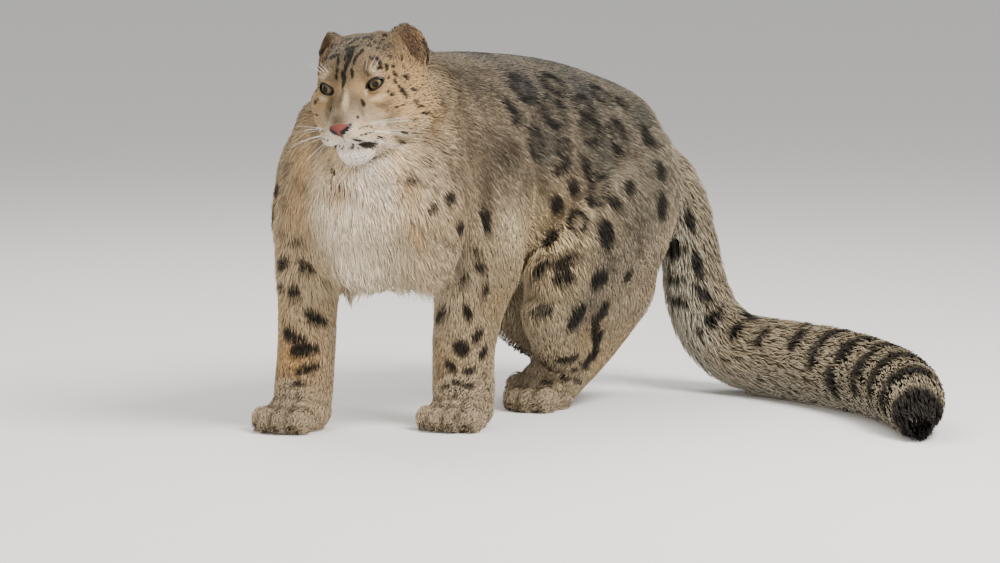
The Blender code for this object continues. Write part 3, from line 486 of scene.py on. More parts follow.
def lid_cutter(eye):
    """An almond-shaped rod through the lids, drawn from a cylinder."""
    wide, high, low = LID_OPENING
    bpy.ops.mesh.primitive_cylinder_add(vertices=40, radius=1, depth=1)
    opening = bpy.context.object
    for vertex in opening.data.vertices:
        a = math.atan2(vertex.co.y, vertex.co.x)
        middle = eye.translation + eye.col[1].xyz * (-0.030 if vertex.co.z > 0 else -0.002)
        across = math.cos(a)
        lift = (1 - abs(across) ** 2.4) ** 0.9 * (high if a > 0 else -low)
        reach = across * wide * (1.10 if across < 0 else 1.0)
        vertex.co = middle + eye.col[0].xyz * reach + eye.col[2].xyz * lift
    turn_out(opening)
    return opening


def carve(head):
    """Opens the eye sockets, lids and nostrils."""
    cutters = []
    for side in (-1, 1):
        eye = eye_frame(side)
        socket = Matrix.Translation(eye.translation)
        cutters.append(ball(socket, (0, 0, 0), (EYE_RADIUS + 0.0004,) * 3, 32))
        cutters.append(lid_cutter(eye))
        for k in range(5):
            t = k / 4
            place = Vector(NOSTRIL[0]).lerp(Vector(NOSTRIL[1]), t)
            radii = (0.0030 - 0.0010 * t, 0.0070, 0.0026 - 0.0010 * t)
            cutters.append(ball(HEAD, sided(place, side), radii, 16))
    for cutter in cutters:
        cut(head, cutter)


def places(item):
    co = np.empty(len(item.data.vertices) * 3)
    item.data.vertices.foreach_get("co", co)
    return co.reshape(-1, 3)


def directions(item):
    co = np.empty(len(item.data.vertices) * 3)
    item.data.vertices.foreach_get("normal", co)
    return co.reshape(-1, 3)


def put_places(item, co):
    item.data.vertices.foreach_set("co", co.ravel())
    item.data.update()


def group_of(item, name, weights):
    """Puts the weights, to two places, into a vertex group of this name."""
    group = item.vertex_groups.new(name=name)
    levels = np.round(weights, 2)
    for level in np.unique(levels):
        group.add(np.nonzero(levels == level)[0].tolist(), float(level), "REPLACE")


def in_head(co):
    """Scene places as (left, ahead, up) on the head."""
    m = np.array(HEAD_BACK)
    return co @ m[:3, :3].T + m[:3, 3]


def laid(tree, line):
    """A line of head places moved on to the skin in small steps."""
    steps = []
    for a, b in zip(line, line[1:]):
        for k in range(5):
            place = HEAD @ Vector(a).lerp(Vector(b), k / 4)
            steps.append(tuple(HEAD_BACK @ tree.find_nearest(place)[0]))
    return steps


def face_lines(tree):
    """The line of the lips, from corner to corner, and the groove above it."""
    lips = [sided(place, -1) for place in LIPS[:0:-1]] + list(LIPS)
    return laid(tree, lips), laid(tree, PHILTRUM)


def line_distance(co, points):
    """The distance of each place to a line through points."""
    best = np.full(len(co), 9.0)
    for a, b in zip(points, points[1:]):
        a, b = np.array(a), np.array(b)
        t = np.clip(((co - a) @ (b - a)) / max((b - a) @ (b - a), 1e-12), 0, 1)
        best = np.minimum(best, np.linalg.norm(co - a - t[:, None] * (b - a), axis=1))
    return best


# The coat: guides say how it lies, how long it is, how far it stands off, and its colour.

def linear(colour):
    c = np.array(colour, float) / 255
    return np.where(c < 0.04045, c / 12.92, ((c + 0.055) / 1.055) ** 2.4)


# The "back" tone is the grey of the back, made darker still as painted shade over the top of the
# back.
COLOURS = {name: linear(value) for name, value in {
    "back": (66, 67, 68), "flank": (82, 81, 73), "shoulder": (74, 67, 56),
    "pale": (188, 166, 130), "belly": (216, 198, 167), "bib": (252, 238, 210),
    "throat": (204, 168, 118), "neck": (124, 110, 88), "leg": (168, 145, 110),
    "leg_warm": (188, 150, 98), "paw": (164, 148, 123), "hock": (160, 140, 109),
    "thigh": (108, 101, 87), "face": (116, 99, 74), "cheek": (178, 146, 101),
    "muzzle": (203, 182, 148), "chin": (248, 238, 224), "bridge": (96, 77, 56),
    "crown": (80, 73, 60), "ear": (142, 114, 80), "ear_in": (66, 43, 31),
    "tail": (143, 130, 106), "tail_pale": (178, 172, 156), "black": (19, 16, 14),
    "brown": (66, 50, 38), "light": (222, 204, 170), "ochre": (182, 144, 96),
    "dusk": (88, 75, 60), "nose": (112, 55, 49), "rim": (13, 11, 10),
}.items()}

# Guides of each region: left, ahead, up, lie (left, ahead, up), length, lift, colour
BODY_GUIDES = {
    "flank": (
        (0.00, 0.05, 0.555, 0, -1, -0.05, 0.024, 0.26, "back"),
        (0.00, -0.10, 0.555, 0, -1, -0.05, 0.024, 0.26, "back"),
        (0.00, -0.25, 0.540, 0, -1, -0.10, 0.024, 0.26, "back"),
        (0.00, -0.38, 0.510, 0, -1, -0.30, 0.024, 0.26, "back"),
        (0.09, 0.02, 0.520, 0.1, -1, -0.50, 0.024, 0.26, "shoulder"),
        (0.09, -0.12, 0.515, 0.1, -1, -0.45, 0.024, 0.26, "back"),
        (0.09, -0.27, 0.500, 0.1, -1, -0.45, 0.024, 0.26, "back"),
        (0.09, -0.40, 0.450, 0.0, -1, -0.70, 0.024, 0.26, "flank"),
        (0.145, 0.02, 0.420, 0, -0.6, -1.0, 0.024, 0.26, "shoulder"),
        (0.145, -0.12, 0.420, 0, -1, -0.60, 0.026, 0.26, "flank"),
        (0.145, -0.27, 0.400, 0, -1, -0.60, 0.026, 0.26, "flank"),
        (0.135, -0.40, 0.360, 0, -1, -0.90, 0.024, 0.26, "thigh"),
        (0.135, -0.10, 0.330, 0, -1, -0.80, 0.028, 0.26, "pale"),
        (0.135, -0.16, 0.320, 0, -1, -0.80, 0.030, 0.26, "pale"),
    ),
    "belly": (
        (0.100, -0.12, 0.262, 0, -0.8, -0.9, 0.048, 0.34, "pale"),
        (0.100, -0.20, 0.262, 0, -0.8, -0.9, 0.048, 0.34, "pale"),
        (0.000, 0.00, 0.225, 0, -0.7, -0.8, 0.052, 0.36, "belly"),
        (0.000, -0.12, 0.220, 0, -0.7, -0.8, 0.056, 0.38, "belly"),
        (0.000, -0.24, 0.220, 0, -0.7, -0.8, 0.054, 0.36, "belly"),
        (0.000, -0.36, 0.230, 0, -0.7, -0.8, 0.040, 0.34, "belly"),
    ),
    "bib": (
        (0.000, 0.205, 0.420, 0, -0.1, -1.0, 0.042, 0.34, "throat"),
        (0.070, 0.190, 0.420, 0.2, -0.2, -1.0, 0.042, 0.32, "throat"),
        (0.000, 0.225, 0.350, 0, -0.1, -1.0, 0.050, 0.36, "bib"),
        (0.090, 0.180, 0.350, 0.2, -0.2, -1.0, 0.046, 0.34, "pale"),
        (0.000, 0.190, 0.270, 0, -0.2, -1.0, 0.056, 0.42, "bib"),
        (0.075, 0.160, 0.270, 0.1, -0.3, -1.0, 0.056, 0.42, "pale"),
        (0.000, 0.110, 0.225, 0, -0.5, -0.9, 0.054, 0.40, "bib"),
        (0.125, 0.130, 0.340, 0.1, -0.6, -1.0, 0.034, 0.28, "leg"),
    ),
    "ruff": (
        (0.000, 0.070, 0.585, 0, -1, -0.15, 0.030, 0.28, "back"),
        (0.085, 0.090, 0.540, 0.4, -1, -0.5, 0.032, 0.28, "shoulder"),
        (0.110, 0.100, 0.460, 0.3, -0.9, -0.9, 0.028, 0.25, "neck"),
        (0.090, 0.170, 0.480, 0.4, -0.8, -0.8, 0.030, 0.27, "neck"),
        (0.120, 0.130, 0.400, 0.2, -0.7, -1.0, 0.028, 0.26, "neck"),
    ),
    "hind": (
        (0.150, -0.35, 0.300, 0, -0.35, -1.0, 0.022, 0.25, "thigh"),
        (0.165, -0.27, 0.240, 0, -0.1, -1.0, 0.018, 0.22, "thigh"),
        (0.130, -0.17, 0.250, 0, -0.3, -1.0, 0.022, 0.25, "pale"),
        (0.090, -0.47, 0.280, 0, -0.4, -1.0, 0.024, 0.26, "pale"),
        (0.150, -0.24, 0.170, 0, -0.4, -1.0, 0.018, 0.24, "thigh"),
        (0.130, -0.26, 0.120, 0, -0.3, -1.0, 0.016, 0.24, "leg"),
        (0.095, -0.445, 0.190, 0, -0.1, -1.0, 0.014, 0.22, "hock"),
        (0.085, -0.385, 0.110, 0, 0.5, -1.0, 0.012, 0.22, "hock"),
        (0.080, -0.33, 0.070, 0, 0.6, -0.8, 0.011, 0.22, "leg"),
        (0.060, -0.24, 0.075, 0, 1.0, -0.7, 0.013, 0.26, "paw"),
        (0.060, -0.20, 0.045, 0, 1.0, -0.8, 0.012, 0.28, "paw"),
        (0.045, -0.30, 0.250, 0, -0.3, -1.0, 0.018, 0.24, "pale"),
        (0.045, -0.34, 0.150, 0, -0.3, -1.0, 0.014, 0.24, "pale"),
    ),
}
# Those of the forelegs, which stand a step apart.
LEFT_GUIDES = (
    (0.160, -0.02, 0.300, 0, -0.15, -1.0, 0.020, 0.25, "leg"),
    (0.100, -0.09, 0.260, 0, -0.60, -1.0, 0.030, 0.28, "pale"),
    (0.130, -0.00, 0.190, 0, -0.12, -1.0, 0.015, 0.24, "leg"),
    (0.040, 0.00, 0.190, 0, -0.12, -1.0, 0.015, 0.24, "pale"),
    (0.080, 0.06, 0.110, 0, 0.05, -1.0, 0.012, 0.23, "leg"),
    (0.080, -0.04, 0.110, 0, 0.05, -1.0, 0.013, 0.23, "pale"),
    (0.095, 0.050, 0.060, 0.1, 1.0, -0.6, 0.013, 0.26, "paw"),
    (0.105, 0.090, 0.030, 0.1, 1.0, -0.9, 0.012, 0.28, "paw"),
)
RIGHT_GUIDES = (
    (-0.165, 0.110, 0.300, 0, -0.15, -1.0, 0.020, 0.25, "leg_warm"),
    (-0.130, 0.030, 0.260, 0, -0.60, -1.0, 0.030, 0.28, "pale"),
    (-0.160, 0.125, 0.190, 0, -0.12, -1.0, 0.015, 0.24, "leg_warm"),
    (-0.075, 0.125, 0.190, 0, -0.12, -1.0, 0.015, 0.24, "pale"),
    (-0.115, 0.185, 0.110, 0, 0.05, -1.0, 0.012, 0.23, "leg_warm"),
    (-0.115, 0.100, 0.110, 0, 0.05, -1.0, 0.013, 0.23, "pale"),
    (-0.115, 0.190, 0.060, 0, 1.0, -0.6, 0.013, 0.26, "paw"),
    (-0.112, 0.225, 0.030, 0, 1.0, -0.9, 0.012, 0.28, "paw"),
)
# Head guides, in the head's own places.
HEAD_GUIDES = (
    (0.000, 0.122, -0.018, 0, -1, 0.6, 0.0030, 0.15, "bridge"),
    (0.000, 0.098, 0.006, 0, -1, 0.9, 0.0040, 0.15, "bridge"),
    (0.000, 0.070, 0.035, 0, -1, 1.0, 0.0050, 0.16, "face"),
    (0.018, 0.085, 0.006, 0.4, -1, 0.5, 0.0042, 0.15, "face"),
    (0.000, 0.045, 0.062, 0, -1, 0.7, 0.0065, 0.18, "crown"),
    (0.000, 0.000, 0.084, 0, -1, 0.1, 0.0100, 0.20, "crown"),
    (0.000, -0.060, 0.070, 0, -1, -0.5, 0.0160, 0.22, "back"),
    (0.030, 0.058, 0.047, 0.4, -0.8, 0.8, 0.0065, 0.18, "face"),
    (0.058, 0.040, 0.036, 0.8, -1, 0.5, 0.0070, 0.18, "cheek"),
    (0.040, 0.066, -0.004, 0.7, -0.9, -0.3, 0.0050, 0.15, "cheek"),
    (0.016, 0.068, 0.016, 0.1, -0.5, 0.9, 0.0036, 0.14, "cheek"),
    (0.062, 0.046, 0.000, 0.9, -1, -0.1, 0.0075, 0.18, "cheek"),
    (0.030, 0.104, -0.034, 0.9, -0.9, -0.10, 0.0055, 0.17, "muzzle"),
    (0.042, 0.086, -0.040, 0.8, -1, -0.20, 0.0065, 0.18, "muzzle"),
    (0.014, 0.113, -0.044, 0.6, -0.5, -0.7, 0.0045, 0.18, "chin"),
    (0.000, 0.104, -0.072, 0.0, -0.3, -1.0, 0.0100, 0.28, "chin"),
    (0.020, 0.085, -0.084, 0.2, -0.6, -1.0, 0.0150, 0.30, "chin"),
    (0.040, 0.062, -0.066, 0.6, -1, -0.5, 0.0110, 0.24, "muzzle"),
    (0.048, 0.030, -0.086, 0.4, -1, -0.7, 0.0200, 0.28, "muzzle"),
    (0.000, 0.030, -0.090, 0.0, -1, -0.7, 0.0220, 0.28, "chin"),
    (0.075, 0.024, -0.030, 0.8, -1, -0.35, 0.0150, 0.22, "cheek"),
    (0.090, -0.010, -0.040, 0.6, -1, -0.5, 0.0240, 0.26, "cheek"),
    (0.080, -0.030, -0.070, 0.4, -1, -0.7, 0.0280, 0.26, "neck"),
    (0.076, 0.000, 0.020, 0.7, -1, 0.1, 0.0110, 0.20, "cheek"),
    (0.050, 0.020, 0.068, 0.5, -1, 0.5, 0.0080, 0.18, "crown"),
)
# Ear guides, in the ear's own places.
EAR_GUIDES = (
    (-0.012, -0.012, 0.000, 0.1, -0.1, 1.0, 0.0085, 0.16, "ear"),
    (0.016, -0.012, 0.000, 0.2, -0.1, 1.0, 0.0070, 0.14, "black"),
    (0.000, -0.010, 0.036, 0.2, 0.1, 1.0, 0.0050, 0.12, "dusk"),
    (0.000, 0.002, -0.010, 0.0, 0.4, 0.8, 0.0100, 0.22, "ear_in"),
    (0.010, 0.002, 0.012, 0.0, 0.3, 0.9, 0.0085, 0.20, "ear_in"),
    (-0.020, 0.010, -0.004, 0.6, 0.6, 0.8, 0.0130, 0.28, "ear"),
    (0.022, 0.008, 0.004, -0.3, 0.4, 0.9, 0.0090, 0.24, "ear"),
)


def guide_rows():
    """All guides in the scene: region, place, lie, length, lift and colour."""
    rows = []

    def add(region, point, lie, length, lift, colour):
        way = np.array(lie.normalized())
        rows.append((region, np.array(point), way, length, lift, COLOURS[colour]))

    body = [(side, region, guide) for side in (1, -1)
            for region, guides in BODY_GUIDES.items() for guide in guides]
    body += [(1, "fore", guide) for guide in LEFT_GUIDES + RIGHT_GUIDES]
    for side, region, (left, ahead, up, *lie, length, lift, colour) in body:
        if side < 0 and region == "hind":
            ahead -= hind_step(up)
        if region in ("flank", "hind", "fore"):
            region += "_left" if side * left >= 0 else "_right"
        lie = body_turn(ahead) @ Vector(sided(lie, side))
        add(region, on_body(side * left, ahead, up), lie, length, lift, colour)
    for side in (1, -1):
        for guides, turn in ((HEAD_GUIDES, HEAD), (EAR_GUIDES, ear_turn(side))):
            for left, ahead, up, *lie, length, lift, colour in guides:
                lie = turn.to_3x3() @ Vector(sided(lie, side))
                place = turn @ Vector((side * left, ahead, up))
                add("head", place, lie, length, lift, colour)
    for point, run, side, wide, _ in tail_path(2)[2:]:
        for a in range(6):
            way = side * math.cos(a * math.pi / 3) + run.cross(side) * math.sin(a * math.pi / 3)
            upper = way.z + 0.6 * way.y > -0.1 or point.z < 0.12 and way.z > 0
            add("tail", point + way * wide, run, 0.036, 0.30, "tail" if upper else "tail_pale")
    return rows


GUIDES = guide_rows()
REGIONS = sorted({row[0] for row in GUIDES})
GUIDE_REGIONS = np.array([REGIONS.index(row[0]) for row in GUIDES])
GUIDE_PLACES, GUIDE_LIES, GUIDE_LENGTHS, GUIDE_LIFTS, GUIDE_COLOURS = (
    np.array([row[k] for row in GUIDES]) for k in range(1, 6))


def coat_at(co):
    """Lie, length, lift, colour and region of the coat at these places."""
    lie, colour = np.empty((len(co), 3)), np.empty((len(co), 3))
    length, lift, region = np.empty(len(co)), np.empty(len(co)), np.empty(len(co), int)
    for start in range(0, len(co), 20000):
        part = slice(start, start + 20000)
        gap = ((co[part, None, :] - GUIDE_PLACES) ** 2).sum(2) + 0.004 ** 2
        weight = gap ** -1.8
        region[part] = GUIDE_REGIONS[weight.argmax(1)]
        weight /= weight.sum(1, keepdims=True)
        lie[part] = weight @ GUIDE_LIES
        length[part] = weight @ GUIDE_LENGTHS
        lift[part] = weight @ GUIDE_LIFTS
        weight = gap ** -1.35
        colour[part] = weight / weight.sum(1, keepdims=True) @ GUIDE_COLOURS
    return lie, length, lift, colour, region


# Camera: from the animal's left front, a little above its back.
CAMERA_PLACE = Vector((4.7667, -5.0477, 0.9458))
CAMERA_TURN = (math.radians(84), 0, math.radians(45))
CAMERA_RIGHT = Vector((math.cos(CAMERA_TURN[2]), math.sin(CAMERA_TURN[2]), 0))
CAMERA_UP = Vector((0, 0, 1))
LENS, SENSOR = 168, 36
VIEW = (1000, 563)
POINT = 0.0015  # what one point of the view spans at the animal


def pixel_ray(x, y):
    """The way from the camera through a point of its view."""
    across = (x - VIEW[0] / 2) / VIEW[0] * SENSOR / LENS
    down = (y - VIEW[1] / 2) / VIEW[0] * SENSOR / LENS
    return (Euler(CAMERA_TURN).to_matrix() @ Vector((across, -down, -1))).normalized()


# Marks in the view: x, y, half length, half width, turn in degrees, kind. "s" is a solid
# mark, "r" a rosette with a greyer middle, "f" a faint smudge and "b" a brown mark, also laid
# as painted shade in the clefts between the toes. "w", "o" and "g" are soft washes under them;
# "g" is dark and also lays painted shade on the far side of the face.
MARKS = (
    (522, 88, 16, 10, 25, "r"), (553, 84, 18, 9.5, 35, "r"), (600, 94, 13, 7.5, 35, "r"),
    (624, 101, 11, 3.5, 45, "s"), (508, 104, 8, 4, 80, "s"), (517, 118, 10, 5, 95, "s"),
    (554, 112, 21, 13, 60, "r"), (584, 106, 16, 9, 40, "r"), (591, 131, 17, 12, 60, "r"),
    (618, 137, 21, 9.5, 82, "r"), (646, 135, 15, 4.5, 70, "s"), (655, 144, 6, 3.5, 10, "s"),
    (514, 147, 13, 7, 85, "b"), (536, 144, 20, 8.5, 82, "r"), (563, 147, 11, 10, 80, "r"),
    (562, 168, 12, 6, -30, "s"), (586, 167, 15, 4.5, 75, "s"), (574, 189, 11, 6, 70, "s"),
    (599, 191, 19, 12, 110, "r"), (635, 156, 6, 4.5, 60, "b"), (629, 188, 10, 6, 75, "s"),
    (617, 205, 9, 6.5, 60, "s"), (557, 206, 11, 7.5, 60, "s"), (545, 190, 9, 5.5, 80, "b"),
    (578, 222, 16, 11, 80, "r"), (606, 234, 18, 9, 78, "s"), (549, 237, 13, 5.5, -50, "s"),
    (568, 260, 18, 8, -25, "s"), (538, 271, 16, 6, -48, "s"), (565, 279, 13, 8.5, -10, "s"),
    (599, 281, 12, 8, -45, "s"), (541, 311, 13, 7.5, -10, "s"), (577, 318, 16, 6, -55, "s"),
    (603, 312, 12, 4.5, -60, "s"), (592, 330, 16, 3, 65, "s"), (541, 175, 10, 6, 80, "f"),
    (530, 175, 12, 8, 70, "f"), (538, 118, 14, 7, 80, "f"), (640, 220, 6, 3.5, 40, "b"),
    (630, 231, 8, 3, 35, "b"), (627, 281, 7, 5, -40, "s"), (641, 255, 6, 3.5, 20, "b"),
    (661, 172, 11, 5.5, 80, "s"), (645, 170, 8, 4, 70, "f"), (620, 165, 6, 4, 40, "f"),
    (640, 240, 8, 3, 60, "b"), (612, 262, 6, 4, 30, "f"),
    (438, 130, 22, 3, 78, "f"), (446, 150, 20, 2.5, 82, "f"), (456, 120, 24, 3, 70, "f"),
    (470, 120, 26, 4, 72, "f"), (480, 165, 24, 9, 80, "f"), (490, 200, 26, 4, 86, "b"),
    (436, 190, 9, 3, 80, "f"), (335, 196, 14, 11, 80, "o"), (408, 192, 20, 12, 80, "o"),
    (300, 210, 30, 12, 85, "o"), (416, 240, 16, 8, 60, "o"), (515, 235, 30, 12, 70, "w"),
    (479, 100, 22, 3, 65, "f"), (484, 170, 40, 4, 88, "f"), (486, 222, 16, 5, 82, "s"),
    (487, 133, 9, 6, 20, "f"), (475, 148, 14, 10, 80, "f"), (450, 160, 30, 3, 75, "f"),
    (466, 170, 36, 3, 82, "f"), (505, 160, 12, 6, 85, "f"), (503, 185, 14, 5, 80, "f"),
    (462, 105, 18, 4, 80, "f"), (445, 110, 18, 4, 85, "f"), (495, 90, 12, 4, 60, "f"),
    (450, 70, 14, 4, 10, "f"), (480, 68, 14, 4, 10, "f"), (510, 70, 12, 4, 5, "f"),
    (450, 200, 8, 5, -60, "s"), (460, 229, 7, 4, 60, "s"), (449, 247, 9, 4, 50, "f"),
    (480, 268, 9, 6, 60, "s"), (477, 253, 6, 4, 60, "s"), (463, 282, 9, 5, -60, "s"),
    (485, 291, 9, 4, -70, "s"), (440, 284, 9, 4, -5, "f"), (452, 262, 5, 3, 30, "f"),
    (441, 315, 9, 5, -45, "s"), (467, 313, 10, 5, 75, "s"), (483, 303, 6, 3, -50, "f"),
    (478, 336, 9, 5, -50, "s"), (461, 349, 10, 8, 45, "s"), (484, 353, 9, 3.5, -65, "s"),
    (451, 367, 9, 5, 40, "s"), (469, 371, 8, 4, -15, "s"), (457, 383, 6, 3, 10, "s"),
    (470, 386, 8, 3, 5, "s"), (484, 376, 5, 3, 80, "b"), (436, 343, 5, 2, -45, "f"),
    (445, 386, 4, 2, 0, "s"), (488, 389, 4, 1.5, 40, "s"), (455, 397, 4, 1.3, -45, "s"),
    (441, 401, 4, 1.3, -60, "b"), (454, 417, 3, 1.5, -60, "s"), (467, 408, 6, 0.9, 80, "b"),
    (473, 424, 5, 0.9, 80, "b"), (448, 411, 6, 0.9, 70, "b"), (483, 402, 5, 0.9, 70, "b"),
    (567, 359, 14, 3.5, -5, "s"), (591, 357, 9, 4, -35, "s"), (598, 339, 12, 4, -70, "s"),
    (584, 366, 6, 3.5, 40, "s"), (574, 369, 4, 2, -10, "s"), (565, 377, 6, 3, 20, "s"),
    (578, 381, 6, 2.2, 25, "s"), (547, 383, 7, 3, 5, "s"), (564, 391, 4, 2.5, 0, "s"),
    (590, 384, 5, 2, 20, "s"), (530, 414, 1.6, 1.6, 0, "s"), (571, 410, 9, 4, -30, "b"),
    (428, 163, 7, 4, -60, "s"), (411, 182, 9, 4, -20, "s"), (432, 210, 9, 5, -50, "s"),
    (415, 227, 7, 4, 0, "f"), (331, 168, 8, 3, 60, "s"), (300, 187, 12, 4, 45, "f"),
    (288, 170, 8, 4, 80, "f"), (297, 244, 10, 3.5, -5, "s"), (308, 264, 11, 5.5, 30, "s"),
    (284, 263, 8, 6, 80, "s"), (280, 288, 6, 5, 0, "s"), (295, 293, 9, 7, 80, "s"),
    (323, 286, 7, 2.5, 60, "s"), (283, 235, 9, 4, 80, "f"), (284, 205, 10, 4, 80, "f"),
    (690, 222, 14, 5, 75, "s"), (666, 205, 15, 6, 85, "s"), (670, 247, 14, 9, 50, "s"),
    (697, 264, 16, 6, 75, "s"), (673, 280, 11, 5, 5, "s"), (703, 294, 14, 6, 40, "s"),
    (677, 304, 10, 5, 20, "s"), (711, 323, 10, 6, 60, "s"), (700, 334, 7, 4, 60, "s"),
)
# Marks of the face, in the same way.
# The "g" washes at (313, 150), (328, 108) and (317, 132) lay painted shade on the far side of the
# face.
FACE_MARKS = (
    (426, 46, 9, 1.2, 62, "s"), (428, 60, 9, 1.2, 85, "s"), (402, 31, 8, 1, -38, "b"),
    (414, 50, 15, 5, 72, "g"), (321, 147, 6, 4, 30, "b"), (313, 150, 7, 6, 60, "g"),
    (373, 71, 8, 3.5, 15, "w"), (378, 98, 9, 2.6, -20, "w"), (323, 99, 5, 3, 10, "w"),
    (366, 92, 2, 4, 0, "w"), (404, 112, 16, 7, 40, "o"), (414, 84, 6, 12, 10, "o"),
    (352, 134, 9, 5, -15, "w"), (391, 128, 12, 5, 5, "w"), (334, 138, 4, 4, 0, "w"),
    (328, 108, 22, 3.5, 98, "g"), (362, 112, 9, 2.5, 75, "g"), (365, 122, 5, 3, 0, "o"),
    (385, 104, 9, 3, -15, "g"), (317, 132, 8, 8, 0, "g"), (345, 100, 10, 4, 90, "w"),
    (350, 52, 9, 2.3, 105, "s"), (346, 66, 7, 1.6, 105, "s"), (344, 80, 9, 1.5, 92, "s"),
    (342, 96, 8, 1.5, 100, "b"), (359, 54, 7, 1.1, -40, "s"), (354, 62, 4, 1.1, -65, "s"),
    (352, 73, 6, 1.4, 85, "s"), (338, 61, 5, 1.2, 95, "s"), (337, 70, 3, 1.2, 95, "s"),
    (336, 77, 3, 1.2, 95, "s"), (333, 56, 6, 1.3, -10, "s"), (325, 60, 5, 1.5, -30, "s"),
    (342, 74, 4, 1.1, 90, "s"), (366, 68, 8, 2.4, 80, "b"), (371, 58, 4, 1.2, 40, "s"),
    (379, 61, 7, 1.5, 60, "s"), (379, 68, 3.5, 1.4, -45, "s"), (387, 67, 4, 1.6, 60, "s"),
    (395, 74, 4, 1.4, 60, "s"), (395, 81, 2.2, 2.2, 0, "s"), (388, 78, 1.4, 1.4, 0, "s"),
    (406, 78, 3.4, 2, 35, "s"), (388, 92, 1.4, 1.4, 0, "s"), (392, 94, 2.4, 2, 60, "s"),
    (404, 92, 8, 2, 52, "s"), (414, 90, 3, 1.5, 0, "s"), (416, 101, 4, 1.5, 15, "s"),
    (421, 106, 4, 1.4, 5, "s"), (427, 113, 5, 1.4, 5, "s"), (414, 120, 4, 1.4, 5, "s"),
    (397, 107, 2.5, 1.2, -25, "s"), (403, 105, 2, 1.2, 0, "s"), (387, 111, 3, 1, -25, "b"),
    (382, 106, 8, 2.5, 20, "f"), (363, 103, 4.5, 1.5, 70, "s"), (358, 117, 2.2, 1.2, 80, "s"),
    (360, 128, 1.1, 0.8, 0, "s"), (363.5, 127, 1.2, 0.8, 0, "s"), (367, 126.3, 1.3, 0.8, 0, "s"),
    (371, 127, 1.1, 0.7, 0, "s"), (357, 137.5, 1.3, 0.8, 0, "s"), (361.5, 135.6, 1.5, 0.9, 0, "s"),
    (366, 134, 1.6, 1, 0, "s"), (370, 132.8, 1.3, 0.9, 0, "s"), (373, 131.5, 1, 0.8, 0, "s"),
    (368, 145, 8, 3.2, 12, "s"), (357, 140.5, 6, 1, 10, "s"), (376, 143, 3, 2, 20, "s"),
    (352, 148, 1.6, 1.4, 0, "s"), (349, 149, 1, 0.8, 0, "s"), (343.5, 147, 0.9, 0.8, 0, "s"),
    (339.5, 147, 0.9, 0.8, 0, "s"), (358, 148, 1, 0.8, 0, "s"), (362, 50, 1.8, 1.4, 0, "s"),
    (370, 43, 1.3, 1.2, 0, "s"), (375, 42, 1.6, 1.2, 60, "s"), (365, 44, 1.2, 1, 0, "s"),
    (357, 46, 2.4, 1.2, -30, "s"), (345, 45, 3, 1, 20, "s"), (338, 49, 3, 1, -20, "s"),
    (384, 50, 2.4, 1.2, 40, "s"), (390, 57, 2, 1.4, 40, "s"), (378, 48, 2, 1, 0, "s"),
    (404, 133, 3.4, 1.2, 25, "s"), (405, 142, 4, 1.6, 15, "s"), (394, 142, 3, 1, 15, "s"),
    (410, 150, 3, 1, 15, "b"), (382, 40, 3, 1, 10, "s"), (400, 60, 3, 1.5, 50, "b"),
    (328, 58, 4, 1.1, -25, "s"), (347, 48, 3, 1.4, 100, "s"), (355, 46, 1.6, 1.2, 0, "s"),
    (351, 43, 2, 1.1, 30, "s"), (341, 43, 2, 1, 0, "s"), (334, 45, 2.2, 1, -20, "s"),
    (329, 47, 2, 1, 0, "s"), (323, 52, 3, 1.2, -50, "s"), (319, 57, 3, 1.2, -60, "s"),
    (361, 42, 2, 1.2, 40, "s"), (365, 37, 2.5, 1.2, -30, "s"), (372, 38, 2.2, 1.2, 30, "s"),
    (380, 43, 2, 1.4, 50, "s"), (356, 38, 3, 1, -20, "s"), (348, 38, 2.4, 1, 0, "s"),
    (388, 46, 1.6, 1.2, 0, "s"), (369, 46, 2, 1.2, 40, "s"), (345, 58, 4, 1, 95, "s"),
    (385, 37, 3, 1, 10, "s"), (393, 66, 2, 1.4, 40, "s"), (399, 86, 1.6, 1.4, 0, "s"),
    (385, 155, 3, 1.2, 60, "f"), (344, 40, 3, 1, 0, "s"), (352, 42, 3, 1.4, 90, "s"),
)
# The washes: their tone and how strong it is. The "dusk" tone of "g" also lays painted shade on the
# far side of the face.
WASHES = {"w": ("light", 0.60), "o": ("ochre", 0.42), "g": ("dusk", 0.50)}
SOFT_MARKS = {"f": 0.42, "b": 0.60}
FULL_MARK = 0.97
# How soft the rim of a mark is, on the skin, on the tufts of the head and on the others.
SKIN_EDGE, HEAD_EDGE, TUFT_EDGE = 0.0016, 0.0010, 0.0024


